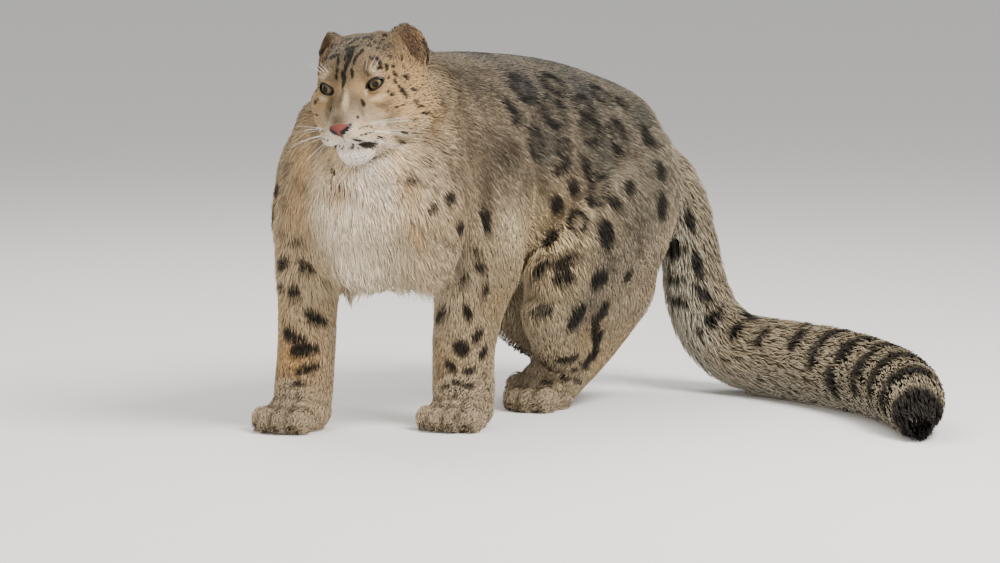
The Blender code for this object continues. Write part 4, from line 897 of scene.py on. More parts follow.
def cast_marks(tree, marks, side_copy, breadth=1.0):
    """Marks as (centre, length axis, width axis, kind) in the scene, with mirrored ones."""
    rows = []
    for x, y, half, wide, turn, kind in marks:
        middle = tree.ray_cast(CAMERA_PLACE, pixel_ray(x, y))[0]
        if middle is None:
            continue
        a = math.radians(turn)
        if kind not in WASHES:
            wide *= breadth
        axes = []
        for reach, angle in ((half, a), (wide, a + math.pi / 2)):
            ends = []
            for sign in (-1, 1):
                px, py = x + sign * reach * math.cos(angle), y + sign * reach * math.sin(angle)
                end = tree.ray_cast(CAMERA_PLACE, pixel_ray(px, py))[0]
                if end is not None and (end - middle).length < reach * POINT * 2.2:
                    ends.append((end - middle) * sign)
            if ends:
                way = sum(ends, Vector()) / len(ends)
            else:
                flat = CAMERA_RIGHT * math.cos(angle) - CAMERA_UP * math.sin(angle)
                way = flat * reach * POINT
            axes.append(way)
        rows.append((middle, *axes, kind))
    for middle, along, across, kind in list(rows):
        copied = side_copy(middle, (along, across))
        if copied is None:
            continue
        near, _, _, distance = tree.find_nearest(copied[0])
        crowded = any((near - other[0]).length < (along.length + other[1].length) * 0.95
                      for other in rows if (other[3] in WASHES) == (kind in WASHES))
        if distance < 0.03 and not crowded:
            rows.append((near, *copied[1], kind))
    return rows


# Places along the spine: how far ahead, the place, and the left and forward ways there.
SPINE_STEPS = []
for step in range(-320, 160):
    spine_middle, spine_heading = spine(step * 0.0025)
    SPINE_STEPS.append((step * 0.0025, spine_middle, *heading_ways(spine_heading)))


def spine_place(point):
    """(left, ahead) of a scene place, from the nearest place of the spine."""
    flat = Vector((point.x, point.y, 0))
    ahead, middle, left, _ = min(SPINE_STEPS, key=lambda row: abs((flat - row[1]).dot(row[3])))
    return (flat - middle).dot(left), ahead


def mirror_on_body(middle, axes):
    """The mark on the other side, moved with the leg that it is on."""
    left, ahead = spine_place(middle)
    if abs(left) < 0.02:
        return None
    step = 0.0
    if ahead < -0.15 and middle.z < 0.38:
        step = hind_step(middle.z) * (-1 if left > 0 else 1)
    elif ahead > -0.12 and middle.z < 0.34:
        step = 0.13 * min(1.0, (0.40 - middle.z) / 0.12) * (1 if left > 0 else -1)
    turn = body_turn(ahead)
    ways = [turn @ Vector(sided(turn.transposed() @ axis, -1)) for axis in axes]
    return on_body(-left, ahead + step, middle.z), ways


def mirror_on_head(middle, axes):
    place = HEAD_BACK @ middle
    if abs(place.x) < 0.006:
        return None
    turn, back = HEAD.to_3x3(), HEAD_BACK.to_3x3()
    return HEAD @ Vector(sided(place, -1)), [turn @ Vector(sided(back @ axis, -1)) for axis in axes]


def noise_at(co, scale, seed):
    """A cheap smooth pattern between -1 and 1 over places, from sums of waves."""
    wave_rng = np.random.default_rng(seed)
    total = np.zeros(len(co))
    for _ in range(7):
        way = wave_rng.normal(size=3)
        way *= scale * (0.6 + wave_rng.random()) / np.linalg.norm(way)
        total += np.sin(co @ way + wave_rng.random() * 6.283)
    return total / 3.2


def blend(colour, tone, share):
    """The colours with this share of a named tone laid over them."""
    share = share[:, None]
    return colour * (1 - share) + COLOURS[tone] * share


def paint(co, base, marks, edge):
    """The coat's colours at these places with the washes and marks laid over them."""
    dark = np.zeros(len(co))
    brown = np.zeros(len(co))
    base = base.copy()
    tree = kdtree.KDTree(len(co))
    for i, place in enumerate(co.tolist()):
        tree.insert(place, i)
    tree.balance()
    for middle, along, across, kind in marks:
        reach = max(along.length, across.length) * 1.5 + 0.004
        found = [i for _, i, _ in tree.find_range(middle, reach)]
        if not found:
            continue
        found = np.array(found)
        off = co[found] - np.array(middle)
        long_way, wide_way = np.array(along), np.array(across)
        half, wide = np.linalg.norm(long_way), np.linalg.norm(wide_way)
        wide_way = wide_way - long_way * (wide_way @ long_way) / half ** 2
        wide_way /= np.linalg.norm(wide_way)
        u = off @ long_way / half / half
        v = off @ wide_way / wide
        r = np.sqrt(u * u + v * v)
        if kind in WASHES:
            tone, strength = WASHES[kind]
            soft = np.clip(1.5 - r, 0, 1.2) / 1.2
            base[found] = blend(base[found], tone, soft * soft * (3 - 2 * soft) * strength)
            continue
        r += min(0.16, 0.0007 / wide) * noise_at(co[found], 260, 5)
        inside = np.clip((1.0 - r) / (edge / max(wide, 0.001)) + 0.5, 0, 1)
        if kind == "r":
            ring = np.clip((r - 0.36) / 0.22, 0, 1) * 0.55 + 0.45
            gap = np.clip(noise_at(co[found], 190, 9) * 1.3 + 1.45, 0.45, 1)
            inside = inside * ring * gap
        layer = brown if kind in SOFT_MARKS else dark
        np.maximum.at(layer, found, inside * SOFT_MARKS.get(kind, FULL_MARK))
    return blend(blend(base, "brown", brown), "black", dark)


def tail_marks(tree):
    """Blotches on the tail's upper side that grow into broad bars, and its dark tip."""
    rings = tail_path(8)
    rows = []
    run_length = 0.0
    next_mark = 0.36
    for i in range(1, len(rings)):
        point, run, _, wide, _ = rings[i]
        run_length += (point - rings[i - 1][0]).length
        if run_length < next_mark and i < len(rings) - 1:
            continue
        late = min(1.0, max(0.0, (run_length - 0.42) / 0.40))
        width = (0.012 + 0.008 * late) * (0.85 + 0.3 * rng.random())
        next_mark = run_length + width * 2 + 0.026 + 0.014 * rng.random()
        out = Vector((0, 0, 1)) - run * run.z
        out.normalize()
        across = run.cross(out)
        if i == len(rings) - 1:
            for wide_way in (across, out):
                rows.append((point + run * 0.02, wide_way * 0.05, run * 0.040, "s"))
            break
        reach = 1 + round(late)
        for a in range(-reach, reach + 1):
            angle = math.radians(a * 42 + 10 * rng.normal())
            way = out * math.cos(angle) + across * math.sin(angle)
            near = tree.find_nearest(point + way * wide)[0]
            around = across * math.cos(angle) - out * math.sin(angle)
            around = around * wide * (0.34 + 0.22 * late)
            slip = run * 0.007 * rng.normal() * (1.6 - late)
            rows.append((near + slip, around, run * width * (0.8 + 0.4 * rng.random()), "s"))
    return rows


def spine_marks(tree):
    """Two broken rows of long spots down the middle of the back."""
    rows = []
    for k in range(13):
        ahead = -0.43 + 0.043 * k
        for side in (-1, 1):
            here = ahead + 0.012 * rng.normal()
            place = on_body(side * (0.020 + 0.005 * rng.normal()), here, 0.60)
            near = tree.find_nearest(place)[0]
            turn = body_turn(here)
            kind = "s" if here < -0.13 else "f"
            rows.append((near, turn.col[1] * (0.014 + 0.004 * rng.random()),
                         turn.col[0] * (0.0055 + 0.002 * rng.random()), kind))
    return rows


def clefts(stations):
    """Places (left, ahead, up) in a paw's frame along each of its clefts between the toes.

    A station is how far out, how near the paw's middle (1 is as wide as the toes), and how high.
    """
    for (a, fa), (b, fb) in zip(TOES, TOES[1:]):
        yield [((a + b) / 2 * spread, (fa + fb) / 2 + out, up) for out, spread, up in stations]


def paw_marks(tree):
    """Dark clefts between the toes, painted shade laid as brown marks, and small flecks on top of
    each paw.
    """
    rows = []
    for left, ahead, heading, half_width, half_length in PAWS:
        turn = paw_turn(left, ahead, heading)
        # Painted shade along each cleft between the toes, as brown marks.
        for cleft in clefts(((0.26, 1, 0.014), (0.20, 1, 0.030), (0.0, 1, 0.044))):
            for across, forward, up in cleft:
                place = turn @ Vector((across * half_width, -forward * half_length, up))
                rows.append((tree.find_nearest(place)[0], Vector((0, 0, 0.010)),
                             turn.col[0].xyz * 0.0024, "b"))
        for _ in range(9):
            across, back = rng.uniform(-0.8, 0.8), rng.uniform(-0.75, 0.35)
            place = turn @ Vector((across * half_width, back * half_length, 0.085))
            rows.append((tree.find_nearest(place)[0], turn.col[1].xyz * 0.005,
                         turn.col[0].xyz * (0.0016 + 0.001 * rng.random()), "b"))
    return rows


# The skin

def make_skin():
    """Body, head and paws as one closed skin, softened where they join."""
    skin = body_form()
    remesh(skin, BODY_VOXEL)
    up = places(skin)[:, 2]
    group_of(skin, "soft", np.where(
        up < 0.26, 0.12 + 0.55 * np.clip((up - 0.05) / 0.21, 0, 1),
        0.67 + 0.33 * np.clip((up - 0.26) / 0.06, 0, 1)))
    smooth(skin, 22, vertex_group="soft")
    thin(skin, BODY_TRIANGLES)
    head = head_form()
    remesh(head, HEAD_VOXEL)
    smooth(head, 6)
    carve(head)
    face_gap = np.linalg.norm(in_head(places(head)) - (0, 0.075, -0.005), axis=1)
    group_of(head, "spare", np.clip((face_gap - 0.045) / 0.05, 0.05, 1))
    thin(head, HEAD_TRIANGLES, vertex_group="spare", vertex_group_factor=1.0)
    for item in [head] + [paw_form(*sizes) for sizes in PAWS]:
        unite(skin, item)
    skin.name = skin.data.name = "skin"
    co = places(skin)
    local = in_head(co)
    neck = np.clip(1 - np.abs(np.linalg.norm(local, axis=1) - 0.105) / 0.03, 0, 1)
    ankle = np.clip(1 - np.abs(co[:, 2] - 0.066) / 0.022, 0, 1)
    group_of(skin, "seam", np.maximum(neck * (local[:, 1] < 0.05), ankle))
    smooth(skin, 9, vertex_group="seam")
    return skin


def furrow(co, line, sizes):
    """How deep a furrow along this line presses at each place."""
    deep, wide = sizes
    return deep * np.exp(-(line_distance(co, line) / wide) ** 2)


def sink(skin, tree):
    """Draws the skin in by the coat's depth and parts the lips and toes."""
    lips, groove = face_lines(tree)
    co = places(skin)
    length, lift = coat_at(co)[1:3]
    depth = length * lift * 0.85
    local = in_head(co)
    eyes = np.minimum(*(np.linalg.norm(local - sided(EYE_PLACE, side), axis=1)
                        for side in (1, -1)))
    depth *= np.clip((eyes - 0.016) / 0.010, 0.0, 1)
    nose = np.linalg.norm((local - (0, 0.118, -0.030)) / (1.6, 1, 1), axis=1)
    depth *= np.clip((nose - 0.008) / 0.010, 0.0, 1)
    for side in (1, -1):
        ear = np.linalg.norm(local - np.array(HEAD_BACK @ ear_turn(side).translation), axis=1)
        depth *= np.clip((ear - 0.036) / 0.020, 0.0, 1)
    depth = np.where(co[:, 2] < 0.006, 0, depth)
    for left, ahead, heading, half_width, half_length in PAWS:
        turn = paw_turn(left, ahead, heading)
        for cleft in clefts(((0.30, 1, 0.012), (0.28, 1, 0.030), (-0.10, 0.8, 0.048))):
            line = [turn @ Vector((across * half_width, -forward * half_length, up))
                    for across, forward, up in cleft]
            depth += furrow(co, line, TOE_FURROW)
    depth += furrow(local, lips, LIP_FURROW)
    depth += furrow(local, groove, PHILTRUM_FURROW)
    co = co - directions(skin) * depth[:, None]
    co[:, 2] = np.maximum(co[:, 2], 0.0004)
    put_places(skin, co)


def keep_values(item, name, values):
    """Keeps a number for each vertex as an attribute that the materials read."""
    item.data.attributes.new(name, "FLOAT", "POINT").data.foreach_set("value", values)


def write_colours(item, colour, bare):
    layer = item.data.color_attributes.new("coat", "FLOAT_COLOR", "POINT")
    values = np.concatenate([colour, np.ones((len(colour), 1))], 1)
    layer.data.foreach_set("color", values.ravel())
    keep_values(item, "bare", bare)


def skin_tree(item):
    """A tree of the piece's triangles, its places and the triangles' corners."""
    item.data.calc_loop_triangles()
    triangles = np.empty(len(item.data.loop_triangles) * 3, int)
    item.data.loop_triangles.foreach_get("vertices", triangles)
    triangles = triangles.reshape(-1, 3)
    co = places(item)
    return BVHTree.FromPolygons([Vector(p) for p in co], triangles.tolist()), co, triangles


def bare_parts(local, tree):
    """How bare the skin is: the nose leather, lid rims and lips."""
    lips, groove = face_lines(tree)
    front = local[:, 1] > 0.104
    wide = np.interp(local[:, 2], LEATHER_UP, LEATHER_WIDE)
    leather = np.clip((wide - np.abs(local[:, 0])) / 0.0012 + 0.5, 0, 1) * front * (wide > 0)
    rims = np.zeros(len(local))
    for side in (-1, 1):
        eye = HEAD_BACK @ eye_frame(side)
        off = local - np.array(eye.translation)
        x, y, z = (off @ np.array(eye.col[k].xyz) for k in range(3))
        x = np.where(x < 0, x / 1.12, x)
        high = np.where(z > 0, LID_OPENING[1] + 0.0030, LID_OPENING[2] + 0.0018)
        ring = (np.abs(x) / (LID_OPENING[0] + 0.0026)) ** 2 + (np.abs(z) / high) ** 1.6
        rims = np.maximum(rims, np.clip((1.12 - ring) / 0.15, 0, 1) * (y < 0.004))
    thick = np.interp(np.abs(local[:, 0]), (0.0, 0.015, 0.030, 0.038),
                      (0.0013, 0.0018, 0.0040, 0.0050))
    mouth = np.clip((thick - line_distance(local, lips)) / 0.0008, 0, 1)
    mouth = np.maximum(mouth, np.clip((0.0014 - line_distance(local, groove)) / 0.0006, 0, 1))
    return leather, rims, mouth


def colour_skin(skin, marks, tree):
    co = places(skin)
    local = in_head(co)
    colour = paint(co, coat_at(co)[3], marks, SKIN_EDGE)
    colour = colour * (0.80 - 0.1 * noise_at(co, 300, 3))[:, None]
    leather, rims, mouth = bare_parts(local, tree)
    slits = (NOSTRIL, [sided(place, -1) for place in NOSTRIL])
    slit = np.minimum(*(line_distance(local, line) for line in slits))
    shade = np.clip((0.0047 - slit) / 0.0010, 0, 1)
    for part, tone in ((leather, "nose"), (rims, "rim"), (mouth, "rim"), (shade, "rim")):
        colour = blend(colour, tone, part)
    write_colours(skin, colour, np.clip(leather + rims + mouth, 0, 1))


# The fur

def soft_skin_map(skin):
    """A light copy of the skin with an unwrap of its own shape: where each tuft is rooted."""
    pick(skin)
    bpy.ops.object.duplicate()
    light = bpy.context.object
    thin(light, MAP_TRIANGLES)
    bpy.ops.object.mode_set(mode="EDIT")
    bpy.ops.mesh.select_all(action="SELECT")
    bpy.ops.uv.smart_project(angle_limit=math.radians(62), island_margin=0.004)
    bpy.ops.object.mode_set(mode="OBJECT")
    tree, co, triangles = skin_tree(light)
    uv = np.empty(len(light.data.loops) * 2)
    light.data.uv_layers.active.data.foreach_get("uv", uv)
    loops = np.empty(len(light.data.loop_triangles) * 3, int)
    light.data.loop_triangles.foreach_get("loops", loops)
    corners = uv.reshape(-1, 2)[loops].reshape(-1, 3, 2)
    bpy.data.objects.remove(light)
    return tree, co, triangles, corners


def place_on_map(layout, roots):
    """The place of each root on the unwrap."""
    tree, co, triangles, corners = layout
    found = np.array([tree.find_nearest(p)[2] for p in roots.tolist()])
    a, b, c = (co[triangles[found, k]] for k in range(3))
    n = np.cross(b - a, c - a)
    area = (n * n).sum(1) + 1e-18
    u = np.clip((np.cross(c - b, roots - b) * n).sum(1) / area, 0, 1)
    v = np.clip((np.cross(a - c, roots - c) * n).sum(1) / area, 0, 1)
    w = np.clip(1 - u - v, 0, 1)
    corner_a, corner_b, corner_c = (corners[found, k] for k in range(3))
    u, v, w = u[:, None], v[:, None], w[:, None]
    return (corner_a * u + corner_b * v + corner_c * w) / (u + v + w)


def scatter(co, triangles, weight, count):
    """Evenly spread roots on the triangles: places and triangle numbers."""
    a, b, c = (co[triangles[:, k]] for k in range(3))
    area = np.linalg.norm(np.cross(b - a, c - a), axis=1) / 2 * weight
    total = np.cumsum(area)
    spots = (np.arange(count) + rng.random(count)) / count * total[-1]
    chosen = np.clip(np.searchsorted(total, spots), 0, len(area) - 1)
    u, v = rng.random(count), rng.random(count)
    flip = u + v > 1
    u[flip], v[flip] = 1 - u[flip], 1 - v[flip]
    return a[chosen] + (b - a)[chosen] * u[:, None] + (c - a)[chosen] * v[:, None], chosen


def unit(v):
    return v / np.maximum(np.linalg.norm(v, axis=1, keepdims=True), 1e-9)


PATCH = 0.0015  # half the height of a tuft's patch on the map
TUFT_STATIONS = {1: (0.42, 1.0), 2: (0.30, 0.66, 1.0)}  # rings, then the tip, for each ring count
ROOT_TONE, TIP_BRIGHTER = 0.80, 0.26


def tuft_lines(roots, normals, lie, length, lift, stations, tree, clump, hang):
    """Places along each tuft: under the skin, at each ring and at the tip."""
    count = len(roots)
    rising = (unit(lie) * normals).sum(1, keepdims=True)
    lie = unit(unit(lie) - normals * rising * np.clip(1.6 - 2.2 * rising, 0, 1))
    side = unit(np.cross(normals, lie))
    lie = unit(lie + side * (0.16 * rng.normal(size=count))[:, None])
    height = lift * length
    lines = [roots - normals * 0.0008]
    for t in stations:
        flat = roots + lie * (length * t)[:, None]
        rise = height * (1 - (1 - t) ** 2)
        free = flat + normals * rise[:, None]
        if t < 0.5:
            lines.append(free)
            continue
        hugged = np.empty_like(free)
        for i, p in enumerate(flat.tolist()):
            near, facing, _, _ = tree.find_nearest(p)
            hugged[i] = near + facing * rise[i]
        lines.append(free * hang[:, None] + hugged * (1 - hang[:, None]))
    heads = rng.choice(count, max(2, count // 14), replace=False)
    crowd = kdtree.KDTree(len(heads))
    for k, i in enumerate(heads):
        crowd.insert(roots[i], k)
    crowd.balance()
    mine = heads[[crowd.find(p)[1] for p in roots.tolist()]]
    for k, t in enumerate(stations):
        if t > 0.5:
            pull = clump * t * t * (0.7 + 0.3 * rng.random(count))
            lines[k + 1] = lines[k + 1] + (lines[k + 1][mine] - lines[k + 1]) * pull[:, None]
    return [np.stack([p[:, 0], p[:, 1], np.maximum(p[:, 2], 0.0010)], 1) for p in lines]


def tuft_faces(rings):
    """The triangles of one tuft: a point, rings of three, and a tip."""
    faces = []
    last = 3 * rings - 2
    for k in range(3):
        n = (k + 1) % 3
        faces.append((1 + n, 1 + k, 0))
        for a in range(1, last, 3):
            b = a + 3
            faces += [(a + k, a + n, b + n), (a + k, b + n, b + k)]
        faces.append((last + k, last + n, 3 * rings + 1))
    return np.array(faces)


def grow(name, roots, normals, lie, length, width, lift, colour_at, uv, tree, rings, clump, hang):
    """One closed mesh of tufts: each starts in a point, swells to flat rings and ends in a tip."""
    stations = TUFT_STATIONS[rings]
    lines = tuft_lines(roots, normals, lie, length, lift, stations, tree, clump, hang)
    tones = [ROOT_TONE] + [ROOT_TONE + TIP_BRIGHTER * t for t in stations]
    stops = [colour_at(line) * tone for line, tone in zip(lines, tones)]
    vertices, patch, colour = [lines[0]], [(0.0, -1.0)], [stops[0]]
    for k in range(rings):
        run = unit(lines[k + 2] - lines[k])
        across = unit(np.cross(normals, run))
        out = np.cross(run, across)
        size = width * (1.0 if k == 0 else 0.72)
        half, deep = across * (size / 2)[:, None], out * (size * 0.24)[:, None]
        vertices += [lines[k + 1] + half, lines[k + 1] + deep, lines[k + 1] - half]
        high = -1 + 2 * stations[k]
        patch += [(0.8, high), (0.0, high + 0.2), (-0.8, high)]
        colour += [stops[k + 1]] * 3
    points = np.stack(vertices + [lines[-1]], 1)
    firsts = np.arange(len(roots)) * points.shape[1]
    index = (tuft_faces(rings)[None] + firsts[:, None, None]).reshape(-1)
    points = points.reshape(-1, 3)
    mesh = bpy.data.meshes.new(name)
    mesh.vertices.add(len(points))
    mesh.vertices.foreach_set("co", points.ravel())
    mesh.loops.add(len(index))
    mesh.loops.foreach_set("vertex_index", index)
    mesh.polygons.add(len(index) // 3)
    mesh.polygons.foreach_set("loop_start", np.arange(0, len(index), 3))
    mesh.update(calc_edges=True)
    mesh.validate()
    mesh.shade_smooth()
    made = bpy.data.objects.new(name, mesh)
    bpy.context.scene.collection.objects.link(made)
    colour = np.stack(colour + [stops[-1]], 1).reshape(-1, 3)
    write_colours(made, colour, np.zeros(len(points)))
    spots = uv[:, None, :] + np.array(patch + [(0.0, 1.0)])[None] * PATCH
    layer = mesh.uv_layers.new(name="OFBake")
    layer.data.foreach_set("uv", spots.reshape(-1, 2)[index].ravel())
    return made


# Region: triangles allowed, rings, clump, width of a tuft, how freely its tip hangs
FUR = {
    "head": (190000, 1, 0.15, 0.0011, 0.0),
    "ruff": (100000, 2, 0.35, 0.0020, 0.1),
    "bib": (190000, 2, 0.50, 0.0021, 0.3),
    "flank_left": (192000, 1, 0.20, 0.0019, 0.0),
    "flank_right": (150000, 1, 0.20, 0.0021, 0.0),
    "belly": (70000, 2, 0.55, 0.0028, 0.35),
    "hind_left": (130000, 1, 0.20, 0.0018, 0.0),
    "hind_right": (90000, 1, 0.20, 0.0020, 0.0),
    "fore_left": (92000, 1, 0.20, 0.0018, 0.0),
    "fore_right": (80000, 1, 0.20, 0.0018, 0.0),
    "tail": (192000, 2, 0.40, 0.0026, 0.1),
}


def open_skin(middles, tree):
    """Where fur may grow: 0 on nose, lips, lids, in the sockets and on the soles."""
    local = in_head(middles)
    leather, rims, mouth = bare_parts(local, tree)
    bare = np.clip(leather + rims * 1.2 + mouth, 0, 1)
    sockets = np.zeros(len(middles))
    for side in (-1, 1):
        centre = np.array(HEAD_BACK @ eye_frame(side).translation)
        sockets = np.maximum(sockets, np.linalg.norm(local - centre, axis=1) < EYE_RADIUS + 0.0018)
    return (1 - bare) * (1 - sockets) * (middles[:, 2] > 0.004)


def make_fur(skin, marks, share):
    tree, co, triangles = skin_tree(skin)
    layout = soft_skin_map(skin)
    normals = directions(skin)
    middles = co[triangles].mean(1)
    _, lengths, _, _, regions = coat_at(middles)
    growing = open_skin(middles, tree)
    face_gap = np.linalg.norm(in_head(middles) - (0, 0.08, -0.01), axis=1)
    tail_end = np.array(tail_path(1)[-1][0])
    made = []
    for name, (budget, rings, clump, width, free) in FUR.items():
        on_head = name == "head"
        weight = (regions == REGIONS.index(name)) * growing
        if on_head:
            weight = weight * np.interp(face_gap, (0.03, 0.10), (2.6, 1.0))
        if name[:4] in ("fore", "hind"):
            weight = weight * np.interp(lengths, (0.009, 0.016), (2.6, 1.0))
        if name == "tail":
            weight = weight * np.where(middles[:, 2] < 0.008, 0.2, 1.0)
        count = int(budget * share / len(tuft_faces(rings)))
        roots, chosen = scatter(co, triangles, weight, count)
        facing = unit(normals[triangles[chosen]].mean(1))
        lie, length, lift, _, _ = coat_at(roots)
        strayed = rng.normal(size=(count, 3)) * np.minimum(length, 0.024)[:, None] * 0.5
        base = coat_at(roots + strayed)[3]
        jitter = rng.normal(size=(count, 3)) * 0.0009 * (0.4 if on_head else 1.0)
        vary = (1 + 0.07 * rng.normal(size=count) + 0.05 * noise_at(roots, 60, 21))[:, None]
        edge = HEAD_EDGE if on_head else TUFT_EDGE

        def colour_at(points):
            return paint(points + jitter, base, marks, edge) * vary

        length = length * (1 + 0.14 * rng.normal(size=count)).clip(0.6, 1.4)
        if on_head:
            widths = width * np.interp(length, (0.003, 0.012, 0.03), (0.75, 1.5, 2.2))
        else:
            widths = width * (1 + 0.2 * rng.normal(size=count)).clip(0.6, 1.5)
            widths *= np.interp(length, (0.006, 0.020), (0.55, 1.0))
        uv = place_on_map(layout, roots)
        loose = 0.22 if rings == 2 else 0.08
        hang = np.where(rng.random(count) < loose, 0.6 * rng.random(count), free)
        for side in (1, -1):
            ear = np.linalg.norm(roots - np.array(ear_turn(side).translation), axis=1)
            hang = np.where(ear < 0.045, 0.5, hang)
        hang = np.where(np.linalg.norm(roots - tail_end, axis=1) < 0.05, 0.8, hang)
        made.append(grow("fur_" + name, roots, facing, lie, length, widths, lift, colour_at,
                         uv, tree, rings, clump, hang))
    return made


# Eyes, whiskers

def make_eye(side):
    """An eyeball with a clear bulge in front; its rings carry the iris and pupil."""
    bpy.ops.mesh.primitive_uv_sphere_add(segments=48, ring_count=32, radius=1)
    made = bpy.context.object
    made.name = made.data.name = "eyeball_left" if side > 0 else "eyeball_right"
    turned = Matrix.Rotation(math.radians(90), 4, "X")
    co = places(made)
    polar = np.degrees(np.arccos(np.clip(co[:, 2], -1, 1)))
    bulge = np.where(polar < 42, 1 + 0.055 * np.cos(np.radians(polar * 90 / 42)) ** 1.2, 1.0)
    put_places(made, co * bulge[:, None])
    made.matrix_world = eye_frame(side) @ turned @ Matrix.Scale(EYE_RADIUS * 0.985, 4)
    settle(made)
    keep_values(made, "polar", polar)
    keep_values(made, "turn", np.arctan2(co[:, 1], co[:, 0]))
    made.data.shade_smooth()
    return made


# Whiskers: root on the head (left, ahead, up), way, length
WHISKER_ROOTS = (
    (0.030, 0.101, -0.030, 1.0, -0.15, 0.10, 0.062),
    (0.034, 0.096, -0.031, 1.0, -0.25, 0.12, 0.074),
    (0.037, 0.089, -0.033, 1.0, -0.35, 0.10, 0.080),
    (0.039, 0.081, -0.035, 1.0, -0.50, 0.05, 0.078),
    (0.030, 0.104, -0.038, 1.0, -0.10, -0.15, 0.062),
    (0.034, 0.099, -0.039, 1.0, -0.20, -0.15, 0.078),
    (0.038, 0.092, -0.041, 1.0, -0.35, -0.15, 0.088),
    (0.040, 0.084, -0.043, 1.0, -0.50, -0.20, 0.084),
    (0.027, 0.107, -0.045, 0.9, -0.10, -0.40, 0.052),
    (0.032, 0.102, -0.047, 0.9, -0.20, -0.42, 0.066),
    (0.036, 0.095, -0.049, 0.9, -0.40, -0.45, 0.072),
    (0.039, 0.087, -0.051, 0.9, -0.55, -0.50, 0.066),
    (0.030, 0.064, 0.046, 0.5, 0.25, 1.0, 0.034),
    (0.036, 0.060, 0.046, 0.7, 0.1, 1.0, 0.038),
    (0.042, 0.055, 0.044, 0.8, 0.0, 0.9, 0.030),
)


def make_whiskers(tree):
    """Long stiff hairs that bow down to fine tips, set into the pads and over the eyes."""
    made = []
    for side in (-1, 1):
        for left, ahead, up, *way, length in WHISKER_ROOTS:
            start = tree.find_nearest(HEAD @ Vector((side * left, ahead, up)))[0]
            way = (HEAD.to_3x3() @ Vector(sided(way, side))).normalized()
            way = (way + Vector(rng.normal(size=3) * 0.05)).normalized()
            length *= 1 + 0.08 * rng.normal()
            across = way.cross(Vector((0, 0, 1))).normalized()
            rings = []
            for k in range(9):
                t = k / 8
                droop = Vector((0, 0, -1)) * length * 0.16 * t * t
                back = -HEAD.col[1].xyz * length * 0.10 * t * t
                thick = 0.00026 * (1 - 0.85 * t)
                point = start - way * 0.002 + way * length * t + droop + back
                rings.append((point, across * thick, across.cross(way) * thick))
            made.append(tube(rings, 5))
    return join("whiskers", made)


# Materials

def set_inputs(node, values):
    for socket, value in values.items():
        node.inputs[socket].default_value = value


def new_material(name, values):
    """A material, and the values of its shader's own inputs."""
    made = bpy.data.materials.new(name)
    made.use_nodes = True
    shader = made.node_tree.nodes["Principled BSDF"]
    set_inputs(shader, values)
    return made, made.node_tree, shader


def add_node(tree, kind, values=None, **settings):
    """A new shader node with these settings and these values of its inputs."""
    node = tree.nodes.new("ShaderNode" + kind)
    for name, value in settings.items():
        setattr(node, name, value)
    set_inputs(node, values or {})
    return node


def wire(tree, *links):
    """Links, each given as a node, its output, the next node and its input."""
    for start, output, end, socket in links:
        tree.links.new(start.outputs[output], end.inputs[socket])


def hair_shade_group():
    """Fine changes of tone over the coat, and a fine bump along it."""
    group = bpy.data.node_groups.new("hair_shade", "ShaderNodeTree")
    for name, way, kind in (("Colour", "INPUT", "Color"), ("Scale", "INPUT", "Float"),
                            ("Amount", "INPUT", "Float"), ("Colour", "OUTPUT", "Color"),
                            ("Grain", "OUTPUT", "Float")):
        group.interface.new_socket(name, in_out=way, socket_type="NodeSocket" + kind)
    start, end = group.nodes.new("NodeGroupInput"), group.nodes.new("NodeGroupOutput")
    where = add_node(group, "TexCoord")
    grain = add_node(group, "TexNoise", {"Detail": 3})
    centre = add_node(group, "Math", {1: 0.5}, operation="SUBTRACT")
    swing = add_node(group, "Math", {2: 1.0}, operation="MULTIPLY_ADD")
    mix = add_node(group, "VectorMath", operation="SCALE")
    wire(group,
         (where, "Object", grain, "Vector"), (start, "Scale", grain, "Scale"),
         (grain, "Fac", centre, 0), (centre, 0, swing, 0), (start, "Amount", swing, 1),
         (start, "Colour", mix, 0), (swing, 0, mix, "Scale"),
         (mix, 0, end, "Colour"), (grain, "Fac", end, "Grain"))
    return group


HAIR_SHADE = hair_shade_group()


def coat_material(name, scale, amount, roughness, bump):
    """The painted coat with fine changes of tone; with a bump, its bare parts shine."""
    made, tree, shader = new_material(
        name, {"Roughness": roughness, "Specular IOR Level": 0.25})
    coat = add_node(tree, "Attribute", attribute_name="coat")
    shade = add_node(tree, "Group", {"Scale": scale, "Amount": amount}, node_tree=HAIR_SHADE)
    wire(tree, (coat, "Color", shade, "Colour"), (shade, "Colour", shader, "Base Color"))
    if bump:
        rough = add_node(tree, "Bump", {"Strength": bump, "Distance": 0.0006})
        bare = add_node(tree, "Attribute", attribute_name="bare")
        gloss = add_node(tree, "MapRange", {"To Min": roughness, "To Max": 0.38})
        wire(tree, (shade, "Grain", rough, "Height"), (rough, "Normal", shader, "Normal"),
             (bare, "Fac", gloss, "Value"), (gloss, "Result", shader, "Roughness"))
    return made


# The eye's colours out from the middle of the pupil: share of 60 degrees, colour
IRIS = (
    (0.00, (0.002, 0.002, 0.002)), (0.30, (0.002, 0.002, 0.002)),
    (0.33, (0.09, 0.055, 0.018)), (0.45, (0.16, 0.115, 0.05)), (0.62, (0.11, 0.09, 0.05)),
    (0.73, (0.03, 0.025, 0.016)), (0.79, (0.003, 0.003, 0.002)), (1.0, (0.004, 0.003, 0.003)),
)


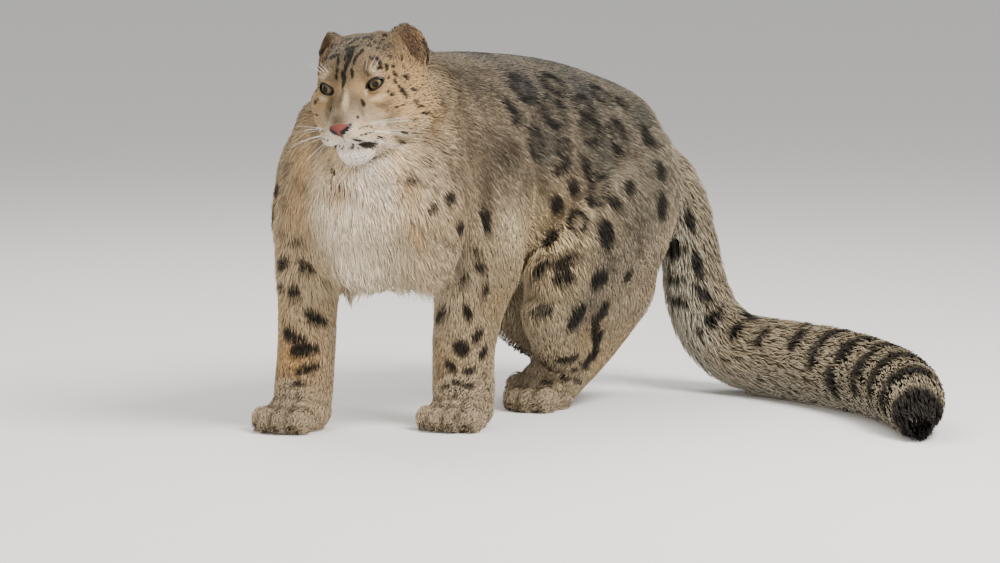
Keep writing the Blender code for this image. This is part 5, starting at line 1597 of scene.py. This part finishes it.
def eye_material():
    """Rings of the iris and pupil, with fine spokes."""
    made, tree, shader = new_material("eye_glaze", {
        "Roughness": 0.5, "Specular IOR Level": 0.1, "Coat Weight": 0.25, "Coat Roughness": 0.02})
    polar = add_node(tree, "Attribute", attribute_name="polar")
    turn = add_node(tree, "Attribute", attribute_name="turn")
    share = add_node(tree, "Math", {1: 60.0}, operation="DIVIDE")
    ramp = add_node(tree, "ValToRGB")
    points = ramp.color_ramp.elements
    for k, (place, colour) in enumerate(IRIS):
        stop = points[k] if k < 2 else points.new(place)
        stop.position = place
        stop.color = (*colour, 1)
    around = add_node(tree, "Math", {1: 14.0}, operation="MULTIPLY")
    along = add_node(tree, "Math", {1: 0.06}, operation="MULTIPLY")
    where = add_node(tree, "CombineXYZ")
    spokes = add_node(tree, "TexNoise", {"Scale": 1.0, "Detail": 4}, noise_dimensions="2D")
    swing = add_node(tree, "MapRange", {"To Min": 0.45, "To Max": 1.5})
    mix = add_node(tree, "VectorMath", operation="SCALE")
    wire(tree,
         (polar, "Fac", share, 0), (share, 0, ramp, "Fac"), (turn, "Fac", around, 0),
         (polar, "Fac", along, 0), (around, 0, where, 0), (along, 0, where, 1),
         (where, 0, spokes, "Vector"), (spokes, "Fac", swing, "Value"),
         (ramp, "Color", mix, 0), (swing, "Result", mix, "Scale"),
         (mix, 0, shader, "Base Color"))
    return made


def whisker_material():
    made, tree, shader = new_material("whisker_white", {"Roughness": 0.35})
    where = add_node(tree, "TexCoord")
    grain = add_node(tree, "TexNoise", {"Scale": 120})
    ramp = add_node(tree, "ValToRGB")
    ramp.color_ramp.elements[0].color = (0.62, 0.60, 0.56, 1)
    ramp.color_ramp.elements[1].color = (0.88, 0.87, 0.85, 1)
    wire(tree, (where, "Object", grain, "Vector"), (grain, "Fac", ramp, "Fac"),
         (ramp, "Color", shader, "Base Color"))
    return made


def put_on(item, material):
    item.data.materials.clear()
    item.data.materials.append(material)


# The stage

LAMP_TARGET = Vector((-0.10, 0.0, 0.30))
LAMP_COLOUR = (1.0, 0.95, 0.88)
TOWARD = Vector((0.707, -0.707, 0))
# Lamps: name, way from the animal, size, power
LAMPS = (
    ("key", TOWARD * 0.75 + CAMERA_RIGHT * 0.75 + CAMERA_UP * 1.15, 1.4, 215),
    ("fill", TOWARD * 1.1 - CAMERA_RIGHT * 0.9 + CAMERA_UP * 0.5, 2.4, 46),
    ("back", -TOWARD * 0.9 - CAMERA_RIGHT * 0.4 + CAMERA_UP * 1.3, 1.8, 70),
)


def make_stage():
    """A pale floor, a soft warm light, three lamps and the camera."""
    bpy.ops.mesh.primitive_plane_add(size=90, location=(0, 0, -0.0006))
    floor = bpy.context.object
    floor.name = "floor"
    put_on(floor, new_material(
        "pale_floor", {"Base Color": (0.72, 0.72, 0.73, 1), "Roughness": 0.9})[0])
    scene = bpy.context.scene
    scene.world = bpy.data.worlds.new("studio")
    scene.world.use_nodes = True
    set_inputs(scene.world.node_tree.nodes["Background"],
               {"Color": (1.0, 0.98, 0.95, 1), "Strength": 0.72})
    for name, way, size, power in LAMPS:
        lamp = bpy.data.lights.new(name, "AREA")
        lamp.size = size
        lamp.energy = power
        lamp.color = LAMP_COLOUR
        item = bpy.data.objects.new(name, lamp)
        item.location = LAMP_TARGET + way * 2.0
        item.rotation_euler = (LAMP_TARGET - item.location).to_track_quat("-Z", "Y").to_euler()
        scene.collection.objects.link(item)
    lens = bpy.data.cameras.new("camera")
    lens.lens = LENS
    lens.sensor_width = SENSOR
    camera = bpy.data.objects.new("camera", lens)
    camera.location = CAMERA_PLACE
    camera.rotation_euler = CAMERA_TURN
    scene.collection.objects.link(camera)
    scene.camera = camera


def main():
    make_stage()
    share = 1.0
    skin = make_skin()
    outer = skin_tree(skin)[0]
    marks = cast_marks(outer, MARKS, mirror_on_body)
    marks += cast_marks(outer, FACE_MARKS, mirror_on_head, 1.25)
    marks += tail_marks(outer) + spine_marks(outer) + paw_marks(outer)
    sink(skin, outer)
    tree = skin_tree(skin)[0]
    marks = [(tree.find_nearest(middle)[0], *rest) for middle, *rest in marks]
    colour_skin(skin, marks, tree)
    skin.data.shade_smooth()
    put_on(skin, coat_material("hide", 900, 0.5, 0.75, 0.5))
    fur = make_fur(skin, marks, share)
    hair = coat_material("fur", 1400, 0.35, 0.62, 0.0)
    for item in fur:
        put_on(item, hair)
        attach(item, "root")
    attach(skin, "root")
    names = [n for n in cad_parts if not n.startswith("eye_")]
    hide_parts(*names)
    glaze = eye_material()
    for side, node in ((1, "eye_left"), (-1, "eye_right")):
        eyeball = make_eye(side)
        put_on(eyeball, glaze)
        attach(eyeball, "root")
        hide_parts(node)
    whiskers = make_whiskers(tree)
    put_on(whiskers, whisker_material())
    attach(whiskers, "root")


main()
